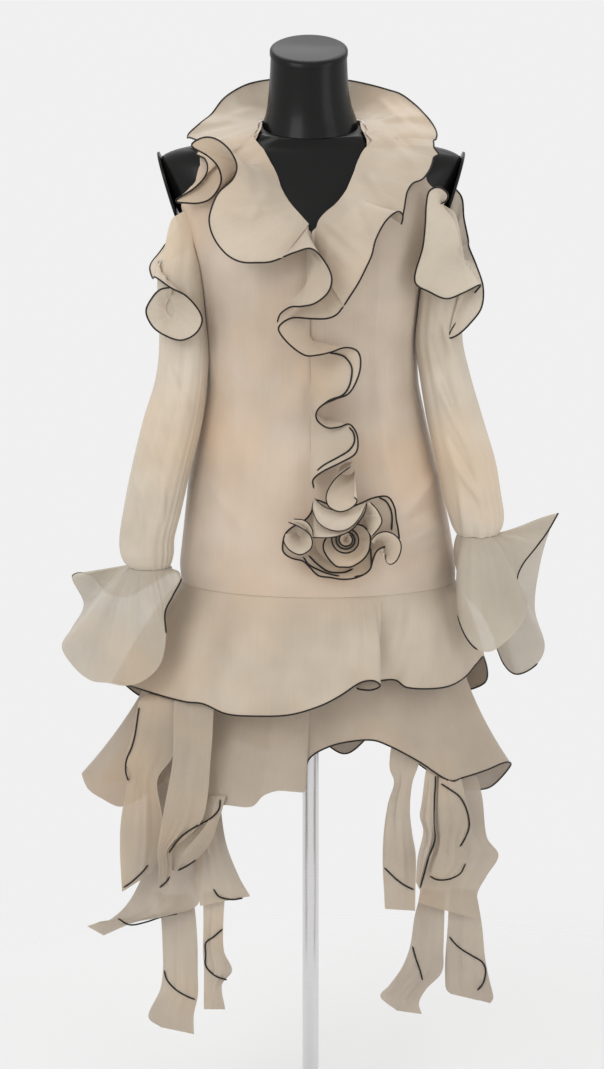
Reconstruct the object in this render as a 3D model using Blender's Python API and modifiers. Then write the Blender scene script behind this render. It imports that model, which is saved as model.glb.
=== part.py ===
"""Ruffle mini dress on a limbless display form.

An ivory organza dress with a V neck, a broad ruffle collar that runs down the front as a cascade
to a rosette at the dropped waist, long sleeves that start below bare shoulders, bell cuffs, a
skirt of two flounces and long streamers at both sides. A smooth torso form on a pole carries it.

Tables are in millimetres. The stand's underside is at height 0, +Z is up and the front faces -Y.
"""

import math

import bmesh
import bpy
import numpy as np
from mathutils import Vector
from mathutils.bvhtree import BVHTree

MM = 0.001

# Driving sizes
CLOTH = 1.4            # wall of each cloth panel
SEAM = 0.3             # clearance between parts that meet
LAID_ON = 2.0          # from the middle of one cloth to the middle of the cloth laid on it
WAIST_SEAM = 781.0     # height of the dropped waist seam
FORM_BOTTOM = 700.0
POLE_RADIUS = 11.0
BASE_RADIUS = 165.0
BASE_THICK = 8.0
SOCKET_RADIUS = 20.0
SOCKET_HEIGHT = 34.0
FLANGE_RADIUS = 46.0
FLANGE_THICK = 8.0

# The front view is seen from this point. A `seen` pair (x, height) is where a point shows on the
# upright plane through the pole; its depth is how far it lies behind that plane.
EYE = (-11.7, -3600.0, 1540.0)

# Sections of the display form: height, half width, front depth, back depth, centre x
FORM = [
    (700, 150, 90, 98, 8),
    (781, 160, 98, 102, 8),
    (840, 158, 96, 100, 6),
    (913, 146, 90, 92, 4),
    (976, 128, 82, 80, 2),
    (1040, 118, 78, 72, 1),
    (1100, 122, 88, 74, 0),
    (1160, 133, 106, 82, 0),
    (1200, 142, 112, 88, 0),
    (1250, 160, 102, 92, 0),
    (1300, 194, 82, 86, 0),
    (1330, 206, 62, 72, 0),
    (1345, 182, 54, 64, 0),
    (1350, 157, 53, 63, 0),
    (1355, 132, 54, 62, 0),
    (1364, 92, 57, 62, 0),
    (1373, 68, 60, 62, 0),
    (1398, 62, 60, 62, 0),
]
# Sections of the cloth body over it, with the ease of the cut: the same columns
BODY = [
    (781, 181, 120, 118, 10),
    (802, 183, 124, 120, 9),
    (840, 177, 121, 116, 8),
    (913, 166, 112, 106, 5),
    (976, 151, 103, 96, 3),
    (1040, 138, 97, 88, 2),
    (1100, 136, 103, 88, 0),
    (1160, 141, 116, 92, 0),
    (1200, 148, 119, 95, 0),
    (1250, 166, 108, 98, 0),
    (1300, 199, 87, 91, 0),
    (1330, 213, 66, 76, 0),
    (1345, 193, 59, 69, 0),
    (1350, 168, 58, 68, 0),
    (1355, 143, 59, 67, 0),
    (1364, 101, 62, 67, 0),
    (1373, 73, 64, 66, 0),
    (1398, 68, 66, 68, 0),
]


# Curves and sections

def smooth(rows, count, closed=False):
    """Even readings, by number, of a smooth curve through the rows, spaced by their last three columns."""
    p = np.array(rows, float)
    n = len(p)
    if closed:
        p = np.vstack([p[-1], p, p[0], p[1]])
        first = 1
        last = n + 1
    else:
        p = np.vstack([2 * p[0] - p[1], p, 2 * p[-1] - p[-2]])
        first = 1
        last = n
    step = np.sqrt(np.maximum(np.linalg.norm(np.diff(p[:, -3:], axis=0), axis=1), 1.0))
    t = np.concatenate([[0], np.cumsum(step)])
    out = []
    for s in np.linspace(t[first], t[last], count + 1)[: count if closed else count + 1]:
        i = min(max(int(np.searchsorted(t, s, side="right")) - 1, first), last - 1)
        h = t[i + 1] - t[i]
        u = (s - t[i]) / h
        before = (p[i + 1] - p[i - 1]) / (t[i + 1] - t[i - 1])
        after = (p[i + 2] - p[i]) / (t[i + 2] - t[i])
        out.append(
            (2 * u**3 - 3 * u**2 + 1) * p[i]
            + (u**3 - 2 * u**2 + u) * h * before
            + (3 * u**2 - 2 * u**3) * p[i + 1]
            + (u**3 - u**2) * h * after
        )
    return out


def section(rows, height):
    """Half width, front depth, back depth and centre x of a body at a height."""
    heights = [r[0] for r in rows]
    return [float(np.interp(height, heights, [r[k] for r in rows])) for k in range(1, 5)]


def on_body(rows, height, angle, out=0.0):
    """A point of a body at an angle in degrees from the front, turning towards +X."""
    width, front, back, centre = section(rows, height)
    a = math.radians(angle)
    depth = front if math.cos(a) > 0 else back
    return Vector((centre + (width + out) * math.sin(a), -(depth + out) * math.cos(a), height))


def seen(x, height, depth):
    """The point that shows at (x, height) in the front view and lies `depth` behind the pole's plane."""
    share = (depth - EYE[1]) / -EYE[1]
    return Vector((EYE[0] + (x - EYE[0]) * share, depth, EYE[2] + (height - EYE[2]) * share))


def reach_of(rows, height, gap):
    """Half width, front and back depth and centre x of a body grown by a gap measured square to it."""
    heights = [r[0] for r in rows]
    grown = []
    for k in (1, 2, 3):
        sizes = [r[k] for r in rows]
        slopes = np.gradient(sizes, heights)
        slant = math.sqrt(1 + float(np.interp(height, heights, slopes)) ** 2)
        grown.append(float(np.interp(height, heights, sizes)) + gap * slant)
    return *grown, float(np.interp(height, heights, [r[4] for r in rows]))


def reach_at(point, rows, gap):
    """How far out a point lies, as a share of the way to a body grown by the gap."""
    width, front, back, centre = reach_of(rows, point.z, gap)
    return math.hypot((point.x - centre) / width, point.y / (front if point.y < 0 else back))


def clear(point, rows, gap):
    """The point, moved straight out or up where it would lie inside a body or nearer than the gap."""
    if not rows[0][0] <= point.z <= rows[-1][0]:
        return point
    reach = reach_at(point, rows, gap)
    if reach >= 1:
        return point
    centre = section(rows, point.z)[3]
    moved = Vector((centre + (point.x - centre) / reach, point.y / reach, point.z))
    for lift in range(1, min(30, int((moved - point).length))):
        raised = point + Vector((0, 0, lift))
        if reach_at(raised, rows, gap) >= 1:
            return raised
    return moved


def tree(grid, closed=False):
    """Faces of a cloth's middle, to lay other cloth on."""
    points = [p for row in grid for p in row]
    across = len(grid[0])
    faces = []
    for i in range(len(grid) if closed else len(grid) - 1):
        a = i * across
        b = (i + 1) % len(grid) * across
        faces += [(a + j, b + j, b + j + 1, a + j + 1) for j in range(across - 1)]
    return BVHTree.FromPolygons(points, faces)


def laid(point, under, toward):
    """The point, moved onto a cloth: LAID_ON from its middle, on the side given by a direction."""
    spot, normal, _, _ = under.find_nearest(point)
    if normal.dot(toward) < 0:
        normal = -normal
    return spot + normal * LAID_ON


def in_front(point, trees, gap):
    """The point, moved towards the viewer where it is not in front of each cloth by the gap."""
    for t in trees:
        spot, _, _, _ = t.ray_cast(Vector((point.x, -900, point.z)), Vector((0, 1, 0)))
        if spot is not None and point.y > spot.y - gap:
            point = Vector((point.x, spot.y - gap, point.z))
    return point


def behind(point, under, gap):
    """The point, moved away from the viewer where it is not behind the front of a cloth by the gap."""
    spot, _, _, _ = under.ray_cast(Vector((point.x, -900, point.z)), Vector((0, 1, 0)))
    if spot is not None and spot.y < 0 and point.y < spot.y + gap:
        return Vector((point.x, spot.y + gap, point.z))
    return point


def off_tube(point, rings, gap, snap=False):
    """The point, moved straight out of a sleeve where it is nearer to it than the gap, or onto the gap."""
    heights = [r[0] for r in rings]
    half_width, half_depth, x, y = (float(np.interp(point.z, heights, [r[k] for r in rings])) for k in (1, 2, 3, 4))
    reach = math.hypot((point.x - x) / (half_width + gap), (point.y - y) / (half_depth + gap))
    if reach >= 1 and not snap:
        return point
    return Vector((x + (point.x - x) / reach, y + (point.y - y) / reach, point.z))


# Making solids

def material(name, colour, roughness, metallic=0.0):
    made = bpy.data.materials.new(name)
    made.use_nodes = True
    shader = made.node_tree.nodes["Principled BSDF"]
    shader.inputs["Base Color"].default_value = (*colour, 1)
    shader.inputs["Roughness"].default_value = roughness
    shader.inputs["Metallic"].default_value = metallic
    return made


def finish(name, mesh, look, smooth_faces=True):
    """An object of the mesh, in the dress's collection, with one material."""
    thing = bpy.data.objects.new(name, mesh)
    parts.objects.link(thing)
    mesh.materials.append(look)
    if smooth_faces:
        mesh.shade_smooth()
        mesh.set_sharp_from_angle(angle=math.radians(40))
    return thing


def surface(grid, closed=False):
    """An open mesh through rows of points, each row as long as the others."""
    mesh = bpy.data.meshes.new("surface")
    work = bmesh.new()
    verts = [[work.verts.new(p * MM) for p in row] for row in grid]
    across = len(grid[0])
    for i in range(len(grid) if closed else len(grid) - 1):
        a = verts[i]
        b = verts[(i + 1) % len(grid)]
        for j in range(across - 1):
            work.faces.new((a[j], b[j], b[j + 1], a[j + 1]))
    work.to_mesh(mesh)
    work.free()
    return mesh


def cloth(name, grid, look, closed=False):
    """A cloth wall whose middle is the grid."""
    thing = finish(name, surface(grid, closed), look)
    wall = thing.modifiers.new("wall", "SOLIDIFY")
    wall.thickness = CLOTH * MM
    wall.offset = 0
    return thing


def loft(name, rings, look):
    """A closed solid through rings of points, with flat ends."""
    mesh = bpy.data.meshes.new(name)
    work = bmesh.new()
    loops = [[work.verts.new(p * MM) for p in ring] for ring in rings]
    for low, high in zip(loops, loops[1:]):
        for k in range(len(low)):
            m = (k + 1) % len(low)
            work.faces.new((low[k], low[m], high[m], high[k]))
    work.faces.new(loops[0])
    work.faces.new(loops[-1])
    bmesh.ops.recalc_face_normals(work, faces=work.faces)
    work.to_mesh(mesh)
    work.free()
    return finish(name, mesh, look)


def turned(name, radius_low, radius_high, low, high, look, sides=24, bevel=0.0):
    """An upright round piece on the pole's axis."""
    bpy.ops.mesh.primitive_cone_add(
        vertices=sides,
        radius1=radius_low * MM,
        radius2=radius_high * MM,
        depth=(high - low) * MM,
        location=(0, 0, (low + high) / 2 * MM),
    )
    thing = bpy.context.object
    thing.name = name
    for other in list(thing.users_collection):
        other.objects.unlink(thing)
    parts.objects.link(thing)
    thing.data.materials.append(look)
    thing.data.shade_smooth()
    thing.data.set_sharp_from_angle(angle=math.radians(40))
    if bevel:
        edge = thing.modifiers.new("edge", "BEVEL")
        edge.width = bevel * MM
        edge.segments = 1
        edge.limit_method = "ANGLE"
    return thing


def strip_grid(rows, along, across, crown=0.0, closed=False, under=(), gap=LAID_ON):
    """Points of a ruffle from its sewn edge to its free edge.

    A row holds the sewn edge's seen x, height and depth, and then the free edge's. `crown` is how
    far the middle stands out, and `under` holds the cloths that it stays in front of by the gap.
    """
    grid = []
    for r in smooth(rows, along, closed):
        sewn = seen(*r[:3])
        free = seen(*r[3:])
        away = Vector((free.x + sewn.x, free.y + sewn.y - 60, 0)).normalized()
        line = []
        for j in range(across + 1):
            s = j / across
            p = clear(sewn.lerp(free, s) + away * crown * 4 * s * (1 - s), BODY, LAID_ON + 2 * j)
            line.append(in_front(p, under, gap) if under else p)
        grid.append(line)
    return grid


def on_seam(grid, straight=False):
    """The grid with its sewn edge brought onto the cloth body, outwards or straight from the front."""
    for line in grid:
        p = line[0]
        width, front, back, centre = reach_of(BODY, p.z, LAID_ON)
        if straight:
            line[0] = Vector((p.x, 0.5 - front * math.sqrt(1 - ((p.x - centre) / width) ** 2), p.z))
            continue
        depth = front if p.y < 0 else back
        reach = math.hypot((p.x - centre) / width, p.y / depth)
        line[0] = Vector((centre + (p.x - centre) / reach, p.y / reach, p.z))
    return grid


# The display form and its stand

ARM_HOLE_TOP = (197, 1348)
ARM_HOLE_BOTTOM = (163, 1235)
NECK_TILT = 13.0
NECK_MIDDLE = Vector((-1, 0, 1376))
# Rings of the neck: height along it, centre x, centre y, radius, tilt in degrees
NECK = [
    (0.0, -1, 0, 60, 13),
    (10, -1, -1, 56, 14),
    (24, -2, -2, 52.5, 15),
    (45, -3, -4, 50.5, 17),
    (70, -3, -7, 49.5, 19),
    (90, -3, -9, 48.8, 20.5),
]
NECK_CAP = (90.3, 96.5, 99.0)


def cut(mesh, point, normal):
    """Removes what lies beyond a plane and closes the cut."""
    work = bmesh.new()
    work.from_mesh(mesh)
    made = bmesh.ops.bisect_plane(
        work,
        geom=[*work.verts, *work.edges, *work.faces],
        plane_co=point * MM,
        plane_no=normal,
        clear_outer=True,
    )
    rim = [e for e in made["geom_cut"] if isinstance(e, bmesh.types.BMEdge)]
    bmesh.ops.contextual_create(work, geom=rim)
    bmesh.ops.recalc_face_normals(work, faces=work.faces)
    work.to_mesh(mesh)
    work.free()


def arm_hole(side):
    """Middle, outward normal and slanting height of one arm hole."""
    top = Vector((side * ARM_HOLE_TOP[0], 0, ARM_HOLE_TOP[1]))
    bottom = Vector((side * ARM_HOLE_BOTTOM[0], 0, ARM_HOLE_BOTTOM[1]))
    run = top - bottom
    return (top + bottom) / 2, Vector((side * run.z, 0, -side * run.x)).normalized(), run.length


def form_torso(look):
    rings = [[on_body(FORM, row[0], a) for a in range(0, 360, 15)] for row in FORM]
    torso = loft("form_torso", rings, look)
    for side in (-1, 1):
        middle, normal, _ = arm_hole(side)
        cut(torso.data, middle, normal)
    tilt = math.radians(NECK_TILT)
    cut(torso.data, NECK_MIDDLE, Vector((0, -math.sin(tilt), math.cos(tilt))))
    return torso


def neck_ring(height, x, y, radius, tilt, sides=24):
    t = math.radians(tilt)
    middle = Vector((x, y, NECK_MIDDLE.z + SEAM + height))
    ring = []
    for k in range(sides):
        a = 2 * math.pi * k / sides
        c = radius * math.sin(a)
        s = -radius * math.cos(a)
        ring.append(middle + Vector((c, s * math.cos(t), s * math.sin(t))))
    return ring


def form_neck(look):
    loft("form_neck", [neck_ring(*r) for r in NECK], look)
    low, rim, top = NECK_CAP
    _, x, y, radius, tilt = NECK[-1]
    rings = [
        neck_ring(low + SEAM, x, y, radius + 1.2, tilt),
        neck_ring(rim, x, y, radius + 1.2, tilt),
        neck_ring(top, x, y, radius - 3, tilt),
    ]
    loft("form_neck_cap", rings, look)


def form_arm_caps(look):
    for side, word in ((-1, "right"), (1, "left")):
        middle, normal, tall = arm_hole(side)
        up = Vector((-normal.z, 0, normal.x)) * side
        rings = []
        for out, shrink in ((SEAM, 5), (3.0, 5), (4.0, 8)):
            ring = []
            for k in range(24):
                a = 2 * math.pi * k / 24
                ring.append(
                    middle
                    + normal * out
                    + up * (tall / 2 - shrink) * math.cos(a)
                    + Vector((0, (46 - shrink) * math.sin(a) + 1, 0))
                )
            rings.append(ring)
        loft(f"form_arm_cap_{word}", rings, look)


def stand(look):
    turned("stand_base", BASE_RADIUS, BASE_RADIUS, 0, BASE_THICK, look, 36, 2.0)
    socket_top = BASE_THICK + SEAM + SOCKET_HEIGHT
    turned("stand_socket", SOCKET_RADIUS + 4, SOCKET_RADIUS - 4, BASE_THICK + SEAM, socket_top, look)
    flange_low = FORM_BOTTOM - SEAM - FLANGE_THICK
    turned("stand_pole", POLE_RADIUS, POLE_RADIUS, socket_top + SEAM, flange_low - SEAM, look, 20)
    turned("stand_flange", FLANGE_RADIUS, FLANGE_RADIUS, flange_low, FORM_BOTTOM - SEAM, look, 24, 1.5)


# The bodice: two fronts and a back between the waist seam and the neck

# height, angle of the neck edge, angle of the side or armhole edge
FRONT_EDGES = [
    (781, 0, 90),
    (1160, 0, 90),
    (1180, 0, 90),
    (1215, 0, 84),
    (1248, 0, 74),
    (1275, 9, 66),
    (1290, 12, 58),
    (1307, 14, 47),
    (1330, 16, 42),
    (1345, 20, 47),
    (1350, 25, 58),
    (1355, 29, 90),
    (1364, 42, 90),
    (1374, 62, 90),
]
PANEL_HEIGHTS = [
    781, 802, 840, 913, 976, 1040, 1100, 1160, 1180, 1200, 1248, 1275, 1300, 1330, 1345, 1350, 1355, 1364, 1374,
]


def panel_edges(height):
    return [float(np.interp(height, [r[0] for r in FRONT_EDGES], [r[k] for r in FRONT_EDGES])) for k in (1, 2)]


def bodice(look):
    trees = []
    for side, word in ((-1, "right"), (1, "left")):
        grid = []
        for z in PANEL_HEIGHTS:
            width, front, back, centre = section(BODY, z)
            neck, arm = panel_edges(z)
            neck = max(neck, math.degrees(SEAM / width))
            arm -= math.degrees(SEAM / front)
            grid.append([on_body(BODY, z, side * (neck + (arm - neck) * k / 7)) for k in range(8)])
        cloth(f"bodice_front_{word}", grid, look)
        trees.append(tree(grid))
    grid = []
    for z in PANEL_HEIGHTS:
        width, front, back, centre = section(BODY, z)
        arm = panel_edges(z)[1] - math.degrees(SEAM / back)
        grid.append([on_body(BODY, z, 180 + arm * (k / 5 - 1)) for k in range(11)])
    cloth("bodice_back", grid, look)
    return trees


# Sleeves: height, seen x and depth of the middle, half width, half depth, and how much higher the
# side next to the body lies than the middle
SLEEVE_RIGHT = [
    (1216, -166, -6, 30, 34, 18),
    (1190, -168, -9, 31, 35, 12),
    (1150, -168, -14, 31, 36, 6),
    (1092, -166, -20, 32, 37, 0),
    (1046, -170, -28, 34, 38, 0),
    (992, -182, -36, 39, 40, 0),
    (923, -199, -44, 39, 40, 0),
    (872, -210, -50, 38, 39, 0),
    (837, -217, -54, 34, 36, 0),
    (812, -217, -56, 29, 31, 0),
    (796, -214, -58, 24, 26, 0),
]
SLEEVE_LEFT = [
    (1216, 172, -6, 30, 34, 18),
    (1190, 172, -9, 31, 35, 12),
    (1150, 169, -14, 31, 36, 6),
    (1102, 166, -20, 31, 37, 0),
    (1053, 175, -28, 33, 38, 0),
    (993, 189, -36, 37, 40, 0),
    (940, 203, -43, 39, 40, 0),
    (895, 212, -48, 38, 38, 0),
    (868, 218, -52, 34, 34, 0),
    (850, 220, -54, 28, 29, 0),
    (838, 220, -55, 24, 25, 0),
]


def sleeve_point(row, angle, side, out=0.0):
    """A point of a sleeve at one of its rows, at an angle from the front turning towards +X."""
    height, x, depth, half_width, half_depth, rise = row
    a = math.radians(angle)
    p = seen(x, height, depth)
    reach = Vector(((half_width + out) * math.sin(a), -(half_depth + out) * math.cos(a), 0))
    return p + reach + Vector((0, 0, -side * rise * math.sin(a)))


def sleeve_grid(rows, side, along, around):
    """Lines down a sleeve, one for each angle; both ends are open."""
    readings = smooth([(r[3], r[4], r[5], r[1], r[0], r[2]) for r in rows], along)
    grid = []
    for k in range(around):
        line = []
        for half_width, half_depth, rise, x, height, depth in readings:
            row = (height, x, depth, half_width, half_depth, rise)
            line.append(clear(sleeve_point(row, 360 * k / around, side), BODY, LAID_ON + 0.2))
        grid.append(line)
    return grid


# Cuff ruffles: angle of the sewn edge at the wrist, then the free edge's seen x, height and depth
CUFF_RIGHT = [
    (70, -172, 781, -86),
    (50, -183, 758, -104),
    (30, -194, 734, -116),
    (12, -193, 700, -128),
    (-5, -201, 664, -134),
    (-20, -222, 642, -128),
    (-35, -248, 634, -112),
    (-48, -272, 638, -92),
    (-60, -293, 641, -70),
    (-72, -314, 657, -52),
    (-84, -332, 687, -34),
    (-100, -318, 714, 6),
    (-118, -302, 746, 32),
    (-135, -317, 783, 22),
    (-150, -292, 786, 44),
    (-170, -268, 760, 56),
    (-190, -242, 756, 48),
    (-210, -226, 764, 30),
    (-235, -206, 776, 2),
    (-265, -184, 788, -44),
]
CUFF_LEFT = [
    (-68, 196, 760, -64),
    (-50, 196, 730, -86),
    (-30, 207, 701, -100),
    (-12, 222, 684, -106),
    (4, 240, 681, -106),
    (18, 258, 693, -102),
    (30, 276, 711, -94),
    (42, 287, 733, -84),
    (54, 286, 756, -74),
    (64, 274, 776, -64),
    (74, 280, 798, -54),
    (84, 300, 825, -40),
    (94, 314, 845, -26),
    (104, 327, 869, -6),
    (116, 316, 846, 20),
    (130, 304, 800, 36),
    (145, 298, 740, 40),
    (160, 312, 690, 30),
    (175, 302, 664, 24),
    (190, 276, 650, 26),
    (205, 258, 664, 38),
    (220, 242, 704, 38),
    (238, 227, 732, 20),
    (256, 210, 752, -8),
    (274, 200, 764, -36),
]


def cuff_grid(rows, sleeve, side, along, across):
    """Rings of points from the gathered wrist to the free edge of a bell cuff."""
    wrist = sleeve[-1]
    grid = []
    turned_rows = [(math.cos(math.radians(r[0])), math.sin(math.radians(r[0])), *r[1:]) for r in rows]
    for c, s, *free in smooth(turned_rows, along, closed=True):
        sewn = sleeve_point(wrist, math.degrees(math.atan2(s, c)), side) - Vector((0, 0, CLOTH + SEAM))
        edge = seen(*free)
        out = Vector((sewn.x - seen(wrist[1], 0, wrist[2]).x, sewn.y - wrist[2], 0)).normalized()
        line = []
        for j in range(across + 1):
            t = j / across
            line.append(sewn.lerp(edge, t) + out * 8 * 4 * t * (1 - t) * (1 - t))
        grid.append(line)
    return grid


# Ruffles at the cold shoulders: the sewn edge's seen x, height and depth, then the free edge's
SHOULDER_RIGHT = [
    (-142, 1240, 26, -150, 1262, 40),
    (-156, 1232, 30, -176, 1240, 50),
    (-172, 1222, 26, -196, 1214, 36),
    (-186, 1212, 14, -209, 1196, 12),
    (-193, 1204, -2, -206, 1180, -14),
    (-193, 1195, -19, -202, 1181, -38),
    (-190, 1186, -30, -182, 1167, -66),
    (-187, 1172, -38, -163, 1157, -74),
    (-184, 1158, -43, -147, 1139, -76),
    (-181, 1148, -46, -142, 1124, -76),
    (-179, 1141, -48, -150, 1108, -74),
    (-178, 1136, -49, -167, 1099, -72),
    (-179, 1132, -49, -184, 1102, -68),
    (-182, 1131, -48, -205, 1115, -62),
    (-185, 1134, -46, -215, 1136, -56),
    (-187, 1139, -44, -207, 1154, -52),
]
SHOULDER_LEFT = [
    (180, 1226, 34, 183, 1299, 52),
    (185, 1224, 30, 195, 1284, 48),
    (190, 1220, 24, 198, 1258, 38),
    (194, 1214, 16, 204, 1230, 24),
    (197, 1208, 8, 205, 1220, 8),
    (197, 1204, -2, 214, 1196, -10),
    (195, 1201, -12, 223, 1172, -26),
    (192, 1200, -20, 216, 1171, -42),
    (187, 1200, -28, 199, 1161, -58),
    (182, 1204, -34, 177, 1153, -66),
    (177, 1210, -38, 156, 1161, -72),
    (172, 1218, -40, 135, 1176, -88),
    (168, 1228, -42, 145, 1220, -82),
    (165, 1240, -42, 148, 1250, -74),
    (164, 1252, -44, 151, 1284, -66),
    (166, 1262, -44, 162, 1297, -62),
    (169, 1268, -44, 175, 1286, -56),
]

# The collar: the sewn edge's seen x, height and depth from the centre back, then the free edge's
COLLAR_RIGHT = [
    (-1.5, 1382, 75, -1, 1437, 98),
    (-14, 1382, 74, -26, 1436, 84),
    (-27, 1383, 69, -50, 1435, 98),
    (-40, 1383, 62, -78, 1430, 78),
    (-52, 1384, 52, -98, 1421, 72),
    (-62, 1382, 38, -114, 1409, 46),
    (-69, 1380, 22, -128, 1391, 30),
    (-73, 1380, 6, -143, 1379, 8),
    (-74, 1383, -8, -158, 1365, 4),
    (-73.5, 1380, -16, -156, 1357, -14),
    (-73, 1376, -24, -143, 1342, -48),
    (-72, 1371, -33, -134, 1327, -67),
    (-71, 1367, -39, -136, 1313, -77),
    (-70, 1363, -44, -150, 1297, -79),
    (-69, 1359, -49, -175, 1280, -72),
    (-67.5, 1355, -53, -160, 1277, -76),
    (-66.5, 1351, -56, -145, 1277, -80),
    (-65, 1346, -60, -131, 1282, -84),
    (-63, 1340, -64, -120, 1295, -88),
    (-61, 1334, -69, -116, 1309, -90),
    (-59, 1328, -74, -121, 1325, -91),
    (-57, 1323, -79, -134, 1338, -91),
    (-55, 1318, -84, -154, 1351, -90),
    (-52, 1312, -89, -139, 1361, -98),
    (-49, 1305, -94, -122, 1359, -107),
    (-46, 1298, -98, -105, 1345, -117),
    (-42, 1292, -101, -96, 1325, -125),
    (-39, 1287, -103, -101, 1308, -130),
    (-36, 1283, -105, -119, 1291, -134),
    (-33, 1279, -106, -128, 1273, -138),
    (-30, 1276, -107, -132, 1254, -142),
    (-26, 1272, -107, -126, 1232, -144),
    (-22, 1268, -109, -110, 1211, -152),
    (-18, 1264, -111, -91, 1201, -158),
    (-13, 1259, -113, -68, 1200, -160),
    (-8, 1254, -115, -53, 1201, -160),
    (-3, 1249, -116, -38, 1206, -158),
]
COLLAR_LEFT = [
    (1.5, 1382, 75, 2, 1437, 98),
    (14, 1382, 74, 26, 1436, 86),
    (27, 1383, 69, 52, 1433, 98),
    (40, 1383, 62, 76, 1428, 80),
    (52, 1384, 52, 98, 1422, 74),
    (62, 1382, 38, 116, 1416, 50),
    (69, 1380, 22, 133, 1404, 34),
    (73, 1380, 6, 146, 1391, 10),
    (74, 1381, -8, 157, 1377, 4),
    (73, 1373, -24, 162, 1364, -16),
    (72, 1364, -38, 158, 1352, -30),
    (70, 1353, -50, 158, 1337, -52),
    (67, 1341, -60, 154, 1322, -66),
    (64, 1330, -68, 144, 1308, -82),
    (61, 1320, -75, 131, 1302, -90),
    (57, 1311, -81, 124, 1290, -102),
    (53, 1303, -86, 121, 1272, -110),
    (48, 1294, -91, 117, 1250, -120),
    (43, 1286, -96, 119, 1261, -130),
    (38, 1279, -101, 112, 1266, -138),
    (32, 1273, -105, 97, 1254, -146),
    (24, 1267, -109, 84, 1230, -152),
    (16, 1260, -112, 79, 1210, -156),
    (10, 1252, -115, 71, 1192, -156),
    (7, 1240, -120, 62, 1174, -154),
    (6, 1224, -123, 52, 1158, -152),
    (6, 1205, -124, 43, 1144, -148),
]
# The cascade down the centre front: first the lobe that carries on the right collar, then the
# longer run of lobes that carries on the left collar
CASCADE_UPPER = [
    (-4, 1246, -121, -20, 1215, -164),
    (-4, 1240, -123, 1, 1218, -170),
    (-4, 1232, -125, 18, 1201, -174),
    (-4, 1222, -127, 27, 1180, -176),
    (-4, 1210, -128, 22, 1161, -174),
    (-4, 1198, -128, 5, 1147, -168),
    (-4, 1186, -128, -12, 1143, -162),
    (-4, 1176, -127, -27, 1142, -154),
    (-4, 1166, -126, -40, 1133, -148),
    (-4, 1158, -125, -44, 1122, -145),
]
CASCADE_LOWER = [
    (6, 1204, -124, 42.5, 1143, -148),
    (6, 1188, -123, 33, 1132, -146),
    (5, 1172, -121, 20, 1127, -142),
    (4, 1160, -119, -1, 1127, -138),
    (2, 1150, -117, -24, 1128, -136),
    (0, 1142, -115, -39, 1120, -138),
    (-1, 1134, -113, -42, 1111, -142),
    (-2, 1126, -112, -28, 1093, -146),
    (-2, 1116, -110, -8, 1079, -148),
    (-2, 1108, -109, 8, 1079, -144),
    (-2, 1102, -108, 26, 1083, -138),
    (-1, 1096, -107, 45, 1089, -132),
    (0, 1090, -106, 60, 1085, -128),
    (0, 1082, -105, 65, 1072, -128),
    (0, 1070, -104, 62, 1051, -132),
    (0, 1056, -102, 50, 1029, -138),
    (0, 1046, -101, 32, 1021, -142),
    (-1, 1038, -101, 15, 1013, -142),
    (-2, 1030, -101, 7, 1003, -138),
    (-2, 1020, -101, 9, 992, -132),
    (-1, 1010, -102, 22, 983, -128),
    (0, 1002, -102, 37, 984, -126),
    (0, 996, -103, 50, 988, -127),
    (0, 988, -104, 59, 978, -130),
    (0, 978, -105, 62, 962, -136),
    (0, 966, -107, 58, 948, -142),
    (0, 956, -109, 40, 937, -146),
    (-1, 944, -111, 16, 925, -146),
    (-2, 934, -113, 3, 914, -142),
    (-2, 922, -114, 4, 902, -138),
]

# The rosette: three turned ruffles round one middle, each with the sewn edge's radius and depth and
# the free edge's angle and distance from the middle, as seen, and depth
ROSETTE_MIDDLE = (36, 832)
ROSETTE_OUTER = [
    (0, 80, -132), (10, 81, -128), (20, 82, -132), (31, 87, -138), (42, 88, -140), (51, 74, -144),
    (62, 55, -148), (80, 46, -146), (100, 48, -142), (119, 62, -138), (133, 52, -140), (148, 52, -142),
    (162, 62, -140), (172, 70, -138), (182, 73, -138), (192, 74, -144), (201, 66, -150), (211, 54, -148),
    (223, 52, -142), (241, 54, -138), (258, 51, -142), (278, 53, -146), (297, 56, -142), (316, 58, -138),
    (332, 53, -140), (346, 54, -144), (354, 66, -140),
]
ROSETTE_INNER = [
    (8, 37, -162), (30, 40, -158), (52, 45, -154), (74, 30, -158), (98, 25, -160), (122, 36, -156),
    (140, 50, -150), (156, 40, -152), (180, 36, -156), (205, 34, -160), (235, 33, -164), (265, 31, -166),
    (295, 31, -166), (325, 33, -166), (350, 36, -164),
]
COIL_TURNS = 2.75
COIL_RADIUS = (5.0, 20.5)
COIL_WALL = 1.4


def rosette_grid(rows, radius, depth, along, across, lift):
    """Rings of a rosette ruffle from a small sewn ring to the free edge."""
    x0, z0 = ROSETTE_MIDDLE
    grid = []
    points = []
    for angle, reach, free_depth in rows:
        a = math.radians(angle)
        points.append((x0 + reach * math.cos(a), z0 + reach * math.sin(a), free_depth))
    for free in smooth(points, along, closed=True):
        turn = math.atan2(free[1] - z0, free[0] - x0)
        sewn = seen(x0 + radius * math.cos(turn), z0 + radius * math.sin(turn), depth)
        edge = seen(*free)
        line = []
        for j in range(across + 1):
            t = j / across
            line.append(clear(sewn.lerp(edge, t) + Vector((0, lift * 4 * t * (1 - t), 0)), BODY, LAID_ON))
        grid.append(line)
    return grid


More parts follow.
